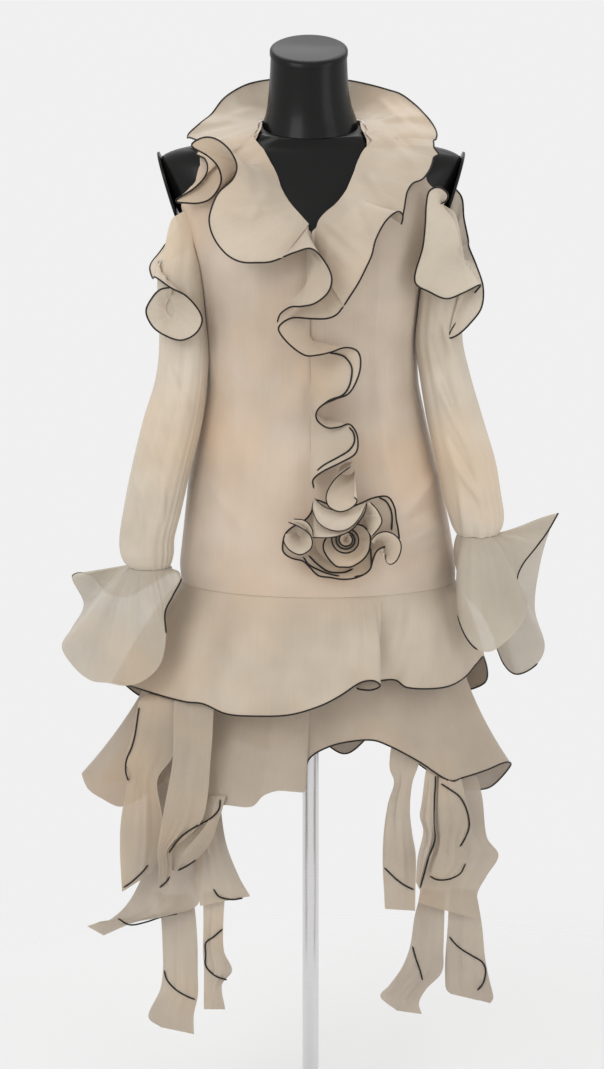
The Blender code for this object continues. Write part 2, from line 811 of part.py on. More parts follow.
def coil_grid(along, across, depth_low, depth_high):
    """A band rolled into a spiral that stands off the bodice."""
    x0, z0 = ROSETTE_MIDDLE
    grid = []
    for i in range(along + 1):
        t = i / along
        r = COIL_RADIUS[0] + (COIL_RADIUS[1] - COIL_RADIUS[0]) * t
        a = math.radians(90 + 360 * COIL_TURNS * t)
        line = []
        for j in range(across + 1):
            s = j / across
            out = r * (1 + 0.18 * s)
            depth = depth_low + (depth_high - depth_low) * s
            line.append(seen(x0 + 2 + out * math.cos(a), z0 + 2 + out * math.sin(a), depth))
        grid.append(line)
    return grid


# The skirt: seam angle, then the free edge's seen x, height and depth
UPPER_FLOUNCE = [
    (-90, -264, 640, 8),
    (-76, -236, 632, -60),
    (-64, -202, 621, -96),
    (-54, -168, 612, -120),
    (-46, -144, 609, -130),
    (-39, -112, 595, -156),
    (-28, -70, 592, -166),
    (-12, -28, 594, -160),
    (0, 12, 606, -152),
    (10, 39, 620, -156),
    (17, 66, 638, -170),
    (20, 84, 641, -176),
    (23, 93, 634, -170),
    (26, 80, 628, -158),
    (29, 62, 631, -146),
    (34, 88, 640, -134),
    (39, 113, 642, -128),
    (44, 128, 632, -134),
    (54, 160, 630, -126),
    (63, 186, 634, -104),
    (71, 206, 646, -74),
    (79, 221, 664, -44),
    (88, 231, 673, -12),
    (102, 234, 640, 40),
    (118, 196, 622, 96),
    (132, 158, 600, 142),
    (146, 110, 618, 132),
    (160, 62, 596, 168),
    (174, 18, 616, 142),
    (188, -30, 596, 170),
    (202, -78, 618, 138),
    (216, -122, 600, 158),
    (230, -178, 624, 118),
    (246, -222, 618, 104),
    (258, -254, 640, 60),
]
LOWER_FLOUNCE = [
    (-90, -308, 513, 10),
    (-83, -300, 491, -26),
    (-76, -281, 477, -52),
    (-68, -257, 466, -72),
    (-60, -232, 476, -80),
    (-54, -213, 489, -82),
    (-48, -194, 500, -90),
    (-41, -168, 488, -96),
    (-33, -141, 471, -104),
    (-26, -112, 468, -118),
    (-19, -80, 466, -132),
    (-14, -64, 481, -136),
    (-9, -45, 488, -134),
    (-5, -24, 487, -130),
    (-2.5, -8, 487, -126),
    (-1.5, -7, 501, -121),
    (-0.5, -7, 517, -117),
    (2, -2, 533, -114),
    (8, 14, 545, -114),
    (19, 42, 555, -120),
    (27, 80, 559, -126),
    (33, 103, 552, -128),
    (41, 144, 530, -122),
    (50, 186, 503, -104),
    (58, 206, 507, -94),
    (66, 236, 517, -70),
    (74, 262, 528, -42),
    (80, 269, 524, -22),
    (88, 250, 500, 10),
    (96, 234, 491, 40),
    (106, 208, 492, 72),
    (120, 168, 510, 96),
    (134, 128, 540, 126),
    (148, 92, 572, 118),
    (162, 46, 540, 136),
    (176, -6, 570, 124),
    (190, -52, 545, 142),
    (206, -104, 560, 120),
    (220, -150, 530, 128),
    (236, -206, 520, 100),
    (250, -262, 500, 84),
    (261, -296, 500, 48),
]


# Streamers: seen x, height and depth of one edge, then of the other edge, from the top down
STREAMERS_RIGHT = {
    "a": [
        (-231, 612, -92, -192, 612, -98),
        (-236, 566, -96, -184, 570, -108),
        (-249, 531, -90, -190, 535, -106),
        (-247, 503, -84, -206, 503, -104),
        (-256, 450, -82, -200, 452, -94),
        (-258, 405, -84, -202, 408, -80),
        (-256, 346, -84, -217, 372, -74),
    ],
    "b": [
        (-186, 606, -112, -128, 600, -124),
        (-184, 531, -122, -136, 540, -124),
        (-199, 450, -122, -146, 450, -118),
        (-207, 405, -112, -188, 404, -110),
        (-206, 380, -106, -188, 385, -104),
        (-206, 350, -100, -193, 356, -102),
    ],
    "c": [
        (-138, 482, -110, -114, 482, -116),
        (-146, 446, -108, -122, 454, -124),
        (-168, 428, -100, -136, 414, -122),
        (-186, 406, -96, -160, 386, -114),
        (-188, 376, -96, -176, 376, -104),
    ],
    "d": [
        (-214, 524, -62, -190, 524, -76),
        (-222, 450, -58, -146, 450, -72),
        (-226, 380, -50, -146, 385, -70),
        (-240, 344, -46, -150, 350, -74),
        (-266, 309, -44, -156, 319, -74),
    ],
    "e": [
        (-152, 544, -90, -130, 544, -100),
        (-164, 480, -86, -122, 470, -98),
        (-160, 420, -84, -114, 415, -102),
        (-158, 370, -88, -97, 368, -100),
        (-150, 326, -92, -82, 340, -92),
    ],
    "f": [
        (-206, 345, -40, -160, 345, -60),
        (-203, 300, -42, -156, 305, -62),
        (-202, 262, -48, -154, 265, -66),
        (-202, 235, -54, -154, 235, -68),
        (-206, 205, -62, -154, 200, -64),
        (-222, 168, -68, -160, 170, -58),
        (-205, 152, -68, -160, 142, -58),
    ],
    "g": [
        (-146, 350, -80, -116, 346, -84),
        (-146, 300, -80, -119, 300, -88),
        (-147, 262, -76, -118, 262, -86),
        (-146, 236, -74, -107, 234, -90),
        (-146, 205, -76, -121, 213, -84),
        (-146, 178, -80, -117, 178, -78),
    ],
}
STREAMERS_LEFT = {
    "a": [
        (110, 572, -108, 150, 566, -104),
        (106, 523, -106, 146, 528, -106),
        (112, 500, -100, 137, 500, -110),
        (104, 470, -98, 134, 464, -110),
        (99, 430, -100, 137, 430, -102),
        (98, 388, -106, 142, 398, -96),
        (100, 345, -106, 142, 350, -96),
        (101, 322, -102, 142, 319, -98),
    ],
    "b": [
        (156, 530, -106, 170, 526, -104),
        (150, 475, -112, 169, 480, -120),
        (147, 452, -112, 168, 446, -122),
        (152, 430, -114, 170, 418, -120),
        (145, 395, -112, 160, 384, -118),
        (143, 360, -112, 149, 347, -114),
    ],
    "c": [
        (174, 526, -102, 200, 520, -92),
        (172, 480, -116, 208, 482, -106),
        (172, 446, -116, 217, 446, -106),
        (172, 412, -114, 207, 410, -112),
        (165, 388, -112, 212, 388, -110),
        (160, 366, -110, 190, 362, -114),
    ],
    "d": [
        (182, 560, -96, 208, 556, -66),
        (167, 500, -96, 230, 486, -70),
        (166, 446, -94, 238, 424, -72),
        (163, 415, -92, 254, 398, -70),
        (156, 385, -92, 238, 368, -76),
        (150, 355, -94, 226, 341, -82),
        (146, 330, -96, 232, 306, -82),
    ],
    "e": [
        (152, 352, -86, 182, 348, -78),
        (142, 312, -86, 182, 310, -76),
        (136, 268, -86, 181, 266, -74),
        (125, 237, -87, 179, 232, -72),
        (108, 212, -91, 158, 208, -72),
        (96, 196, -95, 148, 188, -72),
        (118, 176, -93, 152, 171, -74),
    ],
    "f": [
        (188, 352, -78, 224, 350, -72),
        (187, 300, -74, 233, 300, -66),
        (184, 250, -68, 238, 252, -68),
        (184, 218, -64, 244, 222, -72),
        (186, 206, -64, 250, 196, -72),
        (192, 200, -66, 246, 187, -70),
    ],
}
# What carries each streamer's top and on which side of it the streamer lies: 1 in front, -1 behind
CARRIED_RIGHT = {
    "a": ("lower", 1), "b": ("lower", 1), "c": ("lower", 1), "d": ("lower", -1),
    "e": ("lower", -1), "f": ("d", -1), "g": ("e", -1),
}
CARRIED_LEFT = {
    "a": ("lower", -1), "b": ("lower", -1), "c": ("lower", -1), "d": ("lower", -1),
    "e": ("d", -1), "f": ("d", -1),
}


def streamers(word, tables, carried, lower, look):
    """Each streamer's top edge is laid on what carries it."""
    trees = {"lower": lower}
    for key, rows in tables.items():
        name, side = carried[key]
        grid = strip_grid(rows, 12, 2)
        toward = Vector((0, -side, 0))
        grid[0] = [laid(p, trees[name], toward) for p in grid[0]]
        if side > 0:
            grid[1:] = [[in_front(p, [trees[name]], LAID_ON + 3) for p in line] for line in grid[1:]]
        else:
            grid[1:] = [[behind(p, trees[name], LAID_ON + 3) for p in line] for line in grid[1:]]
        trees[key] = tree(grid)
        cloth(f"streamer_{word}_{key}", grid, look)


def flounce_grid(rows, along, across, seam_height, tuck, crown):
    """Lines down a skirt flounce from the waist seam to its hem. `tuck` is how far it starts inside."""
    turned_rows = [(math.cos(math.radians(r[0])), math.sin(math.radians(r[0])), *r[1:]) for r in rows]
    grid = []
    for c, s, *free in smooth(turned_rows, along, closed=True):
        top = on_body(BODY, WAIST_SEAM, math.degrees(math.atan2(s, c)), -tuck)
        top.z = seam_height
        hem = seen(*free)
        away = Vector((s, -c, 0)).normalized()
        line = []
        for j in range(across + 1):
            t = j / across
            line.append(top.lerp(hem, t) + away * crown * 4 * t * (1 - t))
        grid.append(line)
    return grid


def skirt(look):
    upper = flounce_grid(UPPER_FLOUNCE, 68, 3, WAIST_SEAM - CLOTH, 0, 5)
    cloth("skirt_upper_flounce", upper, look, closed=True)
    lower = flounce_grid(LOWER_FLOUNCE, 68, 4, WAIST_SEAM - CLOTH, LAID_ON, -9)
    cloth("skirt_lower_flounce", lower, look, closed=True)
    return tree(upper, True), tree(lower, True)


for thing in list(bpy.data.objects):
    bpy.data.objects.remove(thing)
parts = bpy.data.collections.new("ruffle mini dress")
bpy.context.scene.collection.children.link(parts)

organza = material("ivory organza", (0.78, 0.70, 0.58), 0.6)
gloss_black = material("black form", (0.012, 0.012, 0.012), 0.3)
steel = material("brushed steel", (0.6, 0.6, 0.6), 0.35, 1.0)

form_torso(gloss_black)
form_neck(gloss_black)
form_arm_caps(gloss_black)
stand(steel)
fronts = bodice(organza)
upper_tree, lower_tree = skirt(organza)

sleeves = {}
for side, word, rows in ((-1, "right", SLEEVE_RIGHT), (1, "left", SLEEVE_LEFT)):
    tube = sleeve_grid(rows, side, 9, 14)
    cloth(f"sleeve_{word}", tube, organza, closed=True)
    middles = [seen(r[1], r[0], r[2]) for r in rows]
    sleeves[word] = sorted((m.z, r[3], r[4], m.x, m.y) for m, r in zip(middles, rows))
cloth("cuff_ruffle_right", cuff_grid(CUFF_RIGHT, SLEEVE_RIGHT, -1, 44, 3), organza, closed=True)
cloth("cuff_ruffle_left", cuff_grid(CUFF_LEFT, SLEEVE_LEFT, 1, 48, 3), organza, closed=True)
for word, rows in (("right", SHOULDER_RIGHT), ("left", SHOULDER_LEFT)):
    grid = strip_grid(rows, 32, 3)
    for line in grid:
        line[0] = off_tube(line[0], sleeves[word], LAID_ON - 0.3, snap=line[0].z < 1226)
        line[1:] = [off_tube(p, sleeves[word], LAID_ON + 1.5) for p in line[1:]]
    cloth(f"shoulder_ruffle_{word}", grid, organza)

collar_left = on_seam(strip_grid(COLLAR_LEFT, 46, 4, 6))
cloth("collar_ruffle_left", collar_left, organza)
collar_right = on_seam(strip_grid(COLLAR_RIGHT, 58, 4, 6))
cloth("collar_ruffle_right", collar_right, organza)
lower_run = on_seam(strip_grid(CASCADE_LOWER, 55, 3))
cloth("cascade_ruffle_lower", lower_run, organza)
upper_run = on_seam(strip_grid(CASCADE_UPPER, 16, 3, 0, False, (tree(collar_left), tree(lower_run)), 3))
cloth("cascade_ruffle_upper", upper_run, organza)

outer = on_seam(rosette_grid(ROSETTE_OUTER, 31, -128, 48, 2, 3), straight=True)
cloth("rosette_ruffle_outer", outer, organza, closed=True)
inner = on_seam(rosette_grid(ROSETTE_INNER, 26.5, -130, 30, 2, 2), straight=True)
cloth("rosette_ruffle_inner", inner, organza, closed=True)
cloth("rosette_coil", on_seam(coil_grid(44, 2, -128, -170), straight=True), organza)

streamers("right", STREAMERS_RIGHT, CARRIED_RIGHT, lower_tree, organza)
streamers("left", STREAMERS_LEFT, CARRIED_LEFT, lower_tree, organza)
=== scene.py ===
# Ruffle mini dress of ivory organza with dark piped edges, on a limbless display form with a stand.
# Tables are in millimetres: x to the right, heights up from the floor, depths away from the viewer.
import math

import bmesh
import bpy
import numpy as np
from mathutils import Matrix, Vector
from mathutils.bvhtree import BVHTree


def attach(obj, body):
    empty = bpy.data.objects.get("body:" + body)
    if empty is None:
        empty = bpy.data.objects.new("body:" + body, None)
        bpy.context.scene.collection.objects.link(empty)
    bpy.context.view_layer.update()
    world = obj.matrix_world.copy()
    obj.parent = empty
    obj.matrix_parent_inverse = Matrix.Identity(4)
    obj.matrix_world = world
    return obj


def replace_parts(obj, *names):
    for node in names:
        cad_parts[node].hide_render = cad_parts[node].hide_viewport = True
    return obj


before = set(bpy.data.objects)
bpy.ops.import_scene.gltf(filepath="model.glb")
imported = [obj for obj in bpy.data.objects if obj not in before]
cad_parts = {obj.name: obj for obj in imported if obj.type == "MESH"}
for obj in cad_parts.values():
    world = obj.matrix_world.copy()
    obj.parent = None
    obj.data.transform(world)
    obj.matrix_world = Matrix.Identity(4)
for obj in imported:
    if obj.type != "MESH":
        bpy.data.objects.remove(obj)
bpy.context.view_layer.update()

MM = 0.001
SHELL = 0.5            # wall of each cloth shell
LAID_ON = 2.0          # from the middle of one cloth to the middle of the cloth laid on it
CLOTH = 1.4
SEAM = 0.3
PIPING = 1.15          # radius of the piped edges
PETAL_PIPING = 0.85
WAIST_SEAM = 781       # height of the dropped waist seam
BODICE_TOP = 1382
BODICE_LAST_ROW = 1379
FORM_BOTTOM = 700
BASE_RADIUS = 165
BASE_THICK = 8
SOCKET_HEIGHT = 34
POLE_RADIUS = 11
FLANGE_RADIUS = 46
FLANGE_THICK = 8
EYE = (-11.7, -3600.0, 1540.0)
PITCH = 11.0
LENS = 93.3

# Sections of the display form: height, half width, front depth, back depth, centre x
FORM = [
    (700, 150, 90, 98, 8),
    (781, 160, 98, 102, 8),
    (840, 158, 96, 100, 6),
    (913, 146, 90, 92, 4),
    (976, 128, 82, 80, 2),
    (1040, 118, 78, 72, 1),
    (1100, 122, 88, 74, 0),
    (1160, 133, 106, 82, 0),
    (1200, 142, 112, 88, 0),
    (1250, 160, 102, 92, 0),
    (1300, 194, 82, 86, 0),
    (1330, 206, 62, 72, 0),
    (1345, 182, 54, 64, 0),
    (1350, 157, 53, 63, 0),
    (1355, 132, 54, 62, 0),
    (1364, 92, 57, 62, 0),
    (1373, 66, 60, 62, 0),
    (1378, 62, 60, 62, 0),
    (1398, 58, 59, 60, 0),
]
# Sections of the cloth body over it, with the ease of the cut: the same columns
BODY = [
    (781, 181, 120, 118, 10),
    (802, 183, 124, 120, 9),
    (840, 177, 121, 116, 8),
    (913, 166, 112, 106, 5),
    (976, 151, 103, 96, 3),
    (1040, 138, 97, 88, 2),
    (1100, 136, 103, 88, 0),
    (1160, 141, 116, 92, 0),
    (1200, 148, 119, 95, 0),
    (1250, 166, 108, 98, 0),
    (1300, 199, 87, 91, 0),
    (1330, 213, 66, 76, 0),
    (1345, 193, 59, 69, 0),
    (1350, 168, 58, 68, 0),
    (1355, 143, 59, 67, 0),
    (1364, 101, 62, 67, 0),
    (1373, 72, 64, 66, 0),
    (1384, 63, 65, 67, 0),
    (1398, 61, 66, 68, 0),
]

# Curves and sections

def smooth(rows, count, closed=False):
    """Even readings, by number, of a smooth curve through the rows, spaced by their last three columns."""
    p = np.array(rows, float)
    n = len(p)
    if closed:
        p = np.vstack([p[-1], p, p[0], p[1]])
        first = 1
        last = n + 1
    else:
        p = np.vstack([2 * p[0] - p[1], p, 2 * p[-1] - p[-2]])
        first = 1
        last = n
    step = np.sqrt(np.maximum(np.linalg.norm(np.diff(p[:, -3:], axis=0), axis=1), 1.0))
    t = np.concatenate([[0], np.cumsum(step)])
    out = []
    for s in np.linspace(t[first], t[last], count + 1)[: count if closed else count + 1]:
        i = min(max(int(np.searchsorted(t, s, side="right")) - 1, first), last - 1)
        h = t[i + 1] - t[i]
        u = (s - t[i]) / h
        before = (p[i + 1] - p[i - 1]) / (t[i + 1] - t[i - 1])
        after = (p[i + 2] - p[i]) / (t[i + 2] - t[i])
        out.append(
            (2 * u**3 - 3 * u**2 + 1) * p[i]
            + (u**3 - 2 * u**2 + u) * h * before
            + (3 * u**2 - 2 * u**3) * p[i + 1]
            + (u**3 - u**2) * h * after
        )
    return out


columns_of = {}
slopes_of = {}


def columns(rows):
    """The columns of a table, kept from its first reading."""
    key = id(rows)
    if key not in columns_of:
        table = np.array(rows, float).T
        columns_of[key] = table
        slopes_of[key] = [np.gradient(table[k], table[0]) for k in (1, 2, 3)]
    return columns_of[key]


def section(rows, height):
    """Half width, front depth, back depth and centre x of a body at a height."""
    table = columns(rows)
    return [float(np.interp(height, table[0], table[k])) for k in range(1, 5)]


def on_body(rows, height, angle, out=0.0):
    """A point of a body at an angle in degrees from the front, turning towards +X."""
    width, front, back, centre = section(rows, height)
    a = math.radians(angle)
    depth = front if math.cos(a) > 0 else back
    return Vector((centre + (width + out) * math.sin(a), -(depth + out) * math.cos(a), height))


def seen(x, height, depth):
    """The point that shows at (x, height) in the front view and lies `depth` behind the pole's plane."""
    share = (depth - EYE[1]) / -EYE[1]
    return Vector((EYE[0] + (x - EYE[0]) * share, depth, EYE[2] + (height - EYE[2]) * share))


def reach_of(rows, height, gap):
    """Half width, front and back depth and centre x of a body grown by a gap measured square to it."""
    table = columns(rows)
    grown = []
    for k, slopes in zip((1, 2, 3), slopes_of[id(rows)]):
        slant = math.sqrt(1 + float(np.interp(height, table[0], slopes)) ** 2)
        grown.append(float(np.interp(height, table[0], table[k])) + gap * slant)
    return *grown, float(np.interp(height, table[0], table[4]))


def reach_at(point, rows, gap):
    """How far out a point lies, as a share of the way to a body grown by the gap."""
    width, front, back, centre = reach_of(rows, point.z, gap)
    return math.hypot((point.x - centre) / width, point.y / (front if point.y < 0 else back))


def clear(point, rows, gap):
    """The point, moved straight out or up where it would lie inside a body or nearer than the gap."""
    if not rows[0][0] <= point.z <= rows[-1][0]:
        return point
    reach = reach_at(point, rows, gap)
    if reach >= 1:
        return point
    centre = section(rows, point.z)[3]
    moved = Vector((centre + (point.x - centre) / reach, point.y / reach, point.z))
    for lift in range(1, min(30, int((moved - point).length))):
        raised = point + Vector((0, 0, lift))
        if reach_at(raised, rows, gap) >= 1:
            return raised
    return moved


def tree(grid, closed=False):
    """Faces of a cloth's middle, to lay other cloth on."""
    points = [p for row in grid for p in row]
    across = len(grid[0])
    faces = []
    for i in range(len(grid) if closed else len(grid) - 1):
        a = i * across
        b = (i + 1) % len(grid) * across
        faces += [(a + j, b + j, b + j + 1, a + j + 1) for j in range(across - 1)]
    return BVHTree.FromPolygons(points, faces)


def laid(point, under, toward):
    """The point, moved onto a cloth: LAID_ON from its middle, on the side given by a direction."""
    spot, normal, _, _ = under.find_nearest(point)
    if normal.dot(toward) < 0:
        normal = -normal
    return spot + normal * LAID_ON


def in_front(point, trees, gap):
    """The point, moved towards the viewer where it is not in front of each cloth by the gap."""
    for t in trees:
        spot, _, _, _ = t.ray_cast(Vector((point.x, -900, point.z)), Vector((0, 1, 0)))
        if spot is not None and point.y > spot.y - gap:
            point = Vector((point.x, spot.y - gap, point.z))
    return point


def behind(point, under, gap):
    """The point, moved away from the viewer where it is not behind the front of a cloth by the gap."""
    spot, _, _, _ = under.ray_cast(Vector((point.x, -900, point.z)), Vector((0, 1, 0)))
    if spot is not None and spot.y < 0 and point.y < spot.y + gap:
        return Vector((point.x, spot.y + gap, point.z))
    return point


def off_tube(point, rings, gap, snap=False):
    """The point, moved straight out of a sleeve where it is nearer to it than the gap, or onto the gap."""
    if point.z > 1203 and point.y > -22:
        return point
    heights = [r[0] for r in rings]
    half_width, half_depth, x, y = (
        float(np.interp(point.z, heights, [r[k] for r in rings])) for k in (1, 2, 3, 4)
    )
    reach = math.hypot((point.x - x) / (half_width + gap), (point.y - y) / (half_depth + gap))
    if reach >= 1 and not snap:
        return point
    return Vector((x + (point.x - x) / reach, y + (point.y - y) / reach, point.z))


# The display form and its stand

ARM_HOLE_TOP = (197, 1348)
ARM_HOLE_BOTTOM = (163, 1235)
NECK_TILT = 13.0
NECK_MIDDLE = Vector((-1, 0, 1376))
# Rings of the neck: height along it, centre x, centre y, radius, tilt in degrees
NECK = [
    (0.0, -1, 0, 61.5, 13),
    (5, -1, 0, 60.5, 13.5),
    (12, -1, -1, 58, 14),
    (24, -2, -2, 54.5, 15),
    (45, -3, -4, 51.2, 17),
    (70, -3, -7, 49.6, 19),
    (90, -3, -9, 48.8, 20.5),
]
NECK_CAP = (90.3, 96.5, 99.0)


def arm_hole(side):
    """Middle, outward normal and slanting height of one arm hole."""
    top = Vector((side * ARM_HOLE_TOP[0], 0, ARM_HOLE_TOP[1]))
    bottom = Vector((side * ARM_HOLE_BOTTOM[0], 0, ARM_HOLE_BOTTOM[1]))
    run = top - bottom
    return (top + bottom) / 2, Vector((side * run.z, 0, -side * run.x)).normalized(), run.length


# height, angle of the neck edge, angle of the side or armhole edge
FRONT_EDGES = [
    (781, 0, 90),
    (1160, 0, 90),
    (1180, 0, 90),
    (1215, 0, 84),
    (1248, 0, 74),
    (1275, 9, 66),
    (1290, 12, 58),
    (1307, 14, 47),
    (1330, 16, 42),
    (1345, 20, 47),
    (1350, 25, 58),
    (1355, 29, 90),
    (1364, 42, 90),
    (1374, 62, 90),
    (1383, 76, 90),
]


def panel_edges(height):
    heights = [r[0] for r in FRONT_EDGES]
    return [float(np.interp(height, heights, [r[k] for r in FRONT_EDGES])) for k in (1, 2)]


# Sleeves: height, seen x and depth of the middle, half width, half depth, and how much higher the
# side next to the body lies than the middle
SLEEVE_RIGHT = [
    (1216, -166, -6, 30, 34, 18),
    (1190, -168, -9, 31, 35, 12),
    (1150, -168, -14, 31, 36, 6),
    (1092, -166, -20, 32, 37, 0),
    (1046, -170, -28, 34, 38, 0),
    (992, -182, -36, 39, 40, 0),
    (923, -199, -44, 39, 40, 0),
    (872, -210, -50, 38, 39, 0),
    (837, -217, -54, 36, 37, 0),
    (818, -217, -56, 35, 36, 0),
    (805, -216, -57, 31, 32, 0),
    (798, -214, -58, 26, 27, 0),
]
SLEEVE_LEFT = [
    (1216, 172, -6, 30, 34, 18),
    (1190, 172, -9, 31, 35, 12),
    (1150, 169, -14, 31, 36, 6),
    (1102, 166, -20, 31, 37, 0),
    (1053, 175, -28, 33, 38, 0),
    (993, 189, -36, 37, 40, 0),
    (940, 203, -43, 39, 40, 0),
    (895, 212, -48, 38, 38, 0),
    (868, 218, -52, 36, 36, 0),
    (852, 220, -54, 32, 32, 0),
    (842, 220, -55, 26, 27, 0),
]


# How far each sleeve head rises at its front above the row at the top of the sleeve
HEAD_RISE = {-1: 52, 1: 60}


def sleeve_point(row, angle, side, out=0.0):
    """A point of a sleeve at one of its rows, at an angle from the front turning towards +X."""
    height, x, depth, half_width, half_depth, rise = row
    a = math.radians(angle)
    p = seen(x, height, depth)
    reach = Vector(((half_width + out) * math.sin(a), -(half_depth + out) * math.cos(a), 0))
    return p + reach + Vector((0, 0, -side * rise * math.sin(a)))


# Cuff ruffles: angle of the sewn edge at the wrist, then the free edge's seen x, height and depth
CUFF_RIGHT = [
    (70, -172, 781, -86),
    (50, -183, 758, -104),
    (30, -194, 734, -116),
    (12, -193, 700, -128),
    (-5, -201, 664, -134),
    (-20, -222, 642, -128),
    (-35, -248, 634, -112),
    (-48, -272, 638, -92),
    (-60, -293, 641, -70),
    (-72, -314, 657, -52),
    (-84, -332, 687, -34),
    (-100, -318, 714, 6),
    (-118, -302, 746, 32),
    (-135, -317, 783, 22),
    (-150, -292, 786, 44),
    (-170, -268, 760, 56),
    (-190, -242, 756, 48),
    (-210, -226, 764, 30),
    (-235, -206, 776, 2),
    (-265, -184, 788, -44),
]
CUFF_LEFT = [
    (-68, 196, 760, -64),
    (-50, 196, 730, -86),
    (-30, 207, 701, -100),
    (-12, 222, 684, -106),
    (4, 240, 681, -106),
    (18, 258, 693, -102),
    (30, 276, 711, -94),
    (42, 287, 733, -84),
    (54, 286, 756, -74),
    (64, 274, 776, -64),
    (74, 280, 798, -54),
    (84, 300, 825, -40),
    (94, 314, 845, -26),
    (104, 327, 869, -6),
    (116, 316, 846, 20),
    (130, 304, 800, 36),
    (145, 298, 740, 40),
    (160, 312, 690, 30),
    (175, 302, 664, 24),
    (190, 276, 650, 26),
    (205, 258, 664, 38),
    (220, 242, 704, 38),
    (238, 227, 732, 20),
    (256, 210, 752, -8),
    (274, 200, 764, -36),
]


# Creases of the drape, along lines as seen: the ends' x and height, half width and rise
BODICE_CREASES = {
    "right": [
        (-104, 1150, -88, 900, 13, 3.2),
        (-70, 1080, -52, 830, 13, -1.8),
        (-128, 1010, -112, 800, 11, 1.8),
        (-150, 930, -60, 812, 9, 2.6),
        (-30, 1000, -22, 880, 10, 1.5),
    ],
    "left": [
        (94, 1130, 106, 960, 12, 3.2),
        (120, 1090, 132, 930, 11, -1.6),
        (119, 862, 168, 926, 7, 5.0),
        (120, 846, 172, 890, 7, -3.2),
        (121, 830, 178, 858, 7, 4.4),
        (117, 810, 180, 824, 7, -2.6),
        (84, 1000, 104, 910, 10, 2.6),
    ],
}
SLEEVE_CREASES = {
    "right": [
        (-166, 1190, -146, 1080, 5, 2.9),
        (-196, 1080, -158, 1000, 5, 4.0),
        (-206, 1040, -172, 940, 5, -2.9),
        (-226, 985, -184, 900, 5, 4.0),
        (-240, 930, -206, 862, 5, 3.2),
        (-196, 930, -196, 850, 4, 2.9),
        (-226, 890, -222, 842, 4, 3.2),
    ],
    "left": [
        (158, 1160, 196, 1050, 5, 4.0),
        (152, 1110, 190, 1000, 5, -3.2),
        (162, 1050, 208, 950, 5, 4.3),
        (170, 990, 222, 900, 5, -2.9),
        (186, 940, 232, 876, 5, 4.0),
        (196, 900, 206, 830, 4, 3.2),
        (222, 860, 228, 800, 4, 3.2),
    ],
}
COLLAR_CREASES = {
    "right": [
        (-66, 1400, -120, 1380, 5, 2.6),
        (-52, 1398, -96, 1404, 5, -2.2),
        (-92, 1336, -70, 1262, 7, 2.6),
        (-118, 1262, -58, 1240, 7, -2.6),
        (-60, 1296, -90, 1222, 6, 2.6),
    ],
    "left": [
        (84, 1412, 142, 1360, 5, 2.6),
        (78, 1396, 138, 1340, 5, -2.4),
        (82, 1376, 136, 1322, 5, 2.6),
        (112, 1416, 146, 1386, 5, -2.2),
        (66, 1320, 104, 1270, 6, 2.6),
        (52, 1290, 80, 1220, 6, -2.4),
    ],
}

# The stretches of the cuffs' free edges that are piped, by places on them, as seen
CUFF_PIPED = {
    "right": [((-318, 783), (-296, 786), (-268, 760)), ((-172, 781), (-183, 758), (-194, 734), (-194, 706))],
    "left": [
        ((327, 869), (314, 845), (300, 825), (278, 797), (274, 776)),
        ((303, 664), (276, 650), (250, 657), (242, 690)),
        ((222, 684), (207, 701), (196, 730)),
    ],
}

# Ruffles at the cold shoulders: the sewn edge's seen x, height and depth, then the free edge's
SHOULDER_RIGHT = [
    (-142, 1240, 26, -150, 1262, 40),
    (-154, 1232, 30, -176, 1240, 50),
    (-166, 1222, 26, -196, 1214, 36),
    (-176, 1213, 14, -209, 1196, 12),
    (-182, 1206, -2, -206, 1180, -14),
    (-188, 1197, -19, -202, 1181, -38),
    (-190, 1186, -30, -182, 1167, -66),
    (-187, 1172, -38, -163, 1157, -74),
    (-184, 1158, -43, -147, 1139, -76),
    (-181, 1148, -46, -142, 1124, -76),
    (-179, 1141, -48, -150, 1108, -74),
    (-178, 1136, -49, -167, 1099, -72),
    (-179, 1132, -49, -184, 1102, -68),
    (-182, 1131, -48, -205, 1115, -62),
    (-185, 1134, -46, -215, 1136, -56),
    (-187, 1139, -44, -207, 1154, -54),
    (-186, 1146, -43, -196, 1165, -56),
    (-184, 1150, -43, -180, 1168, -60),
]
SHOULDER_LEFT = [
    (176, 1226, 34, 183, 1299, 52),
    (179, 1224, 30, 195, 1284, 48),
    (182, 1220, 24, 198, 1258, 38),
    (184, 1214, 16, 204, 1230, 24),
    (185, 1208, 8, 205, 1220, 8),
    (187, 1205, -2, 215, 1196, -10),
    (189, 1204, -8, 224, 1168, -30),
    (190, 1203, -12, 222, 1141, -44),
    (191, 1203, -15, 207, 1120, -54),
    (192, 1203, -18, 192, 1106, -58),
    (193, 1203, -20, 180, 1102, -58),
    (194, 1203, -21, 184, 1120, -46),
    (195, 1203, -22, 202, 1148, -28),
    (196, 1204, -26, 221, 1171, -44),
    (196, 1207, -34, 199, 1161, -64),
    (195, 1212, -42, 177, 1153, -72),
    (194, 1220, -50, 156, 1161, -80),
    (192, 1230, -56, 135, 1176, -92),
    (190, 1240, -60, 145, 1220, -88),
    (187, 1250, -62, 148, 1250, -82),
    (182, 1259, -63, 149, 1274, -79),
    (177, 1265, -64, 152, 1291, -77),
    (173, 1269, -64, 160, 1297, -75),
    (170, 1271, -64, 169, 1296, -74),
    (169, 1272, -64, 177, 1288, -73),
    (168, 1272, -64, 175, 1280, -72),
    (167, 1271, -64, 168, 1276, -71),
]

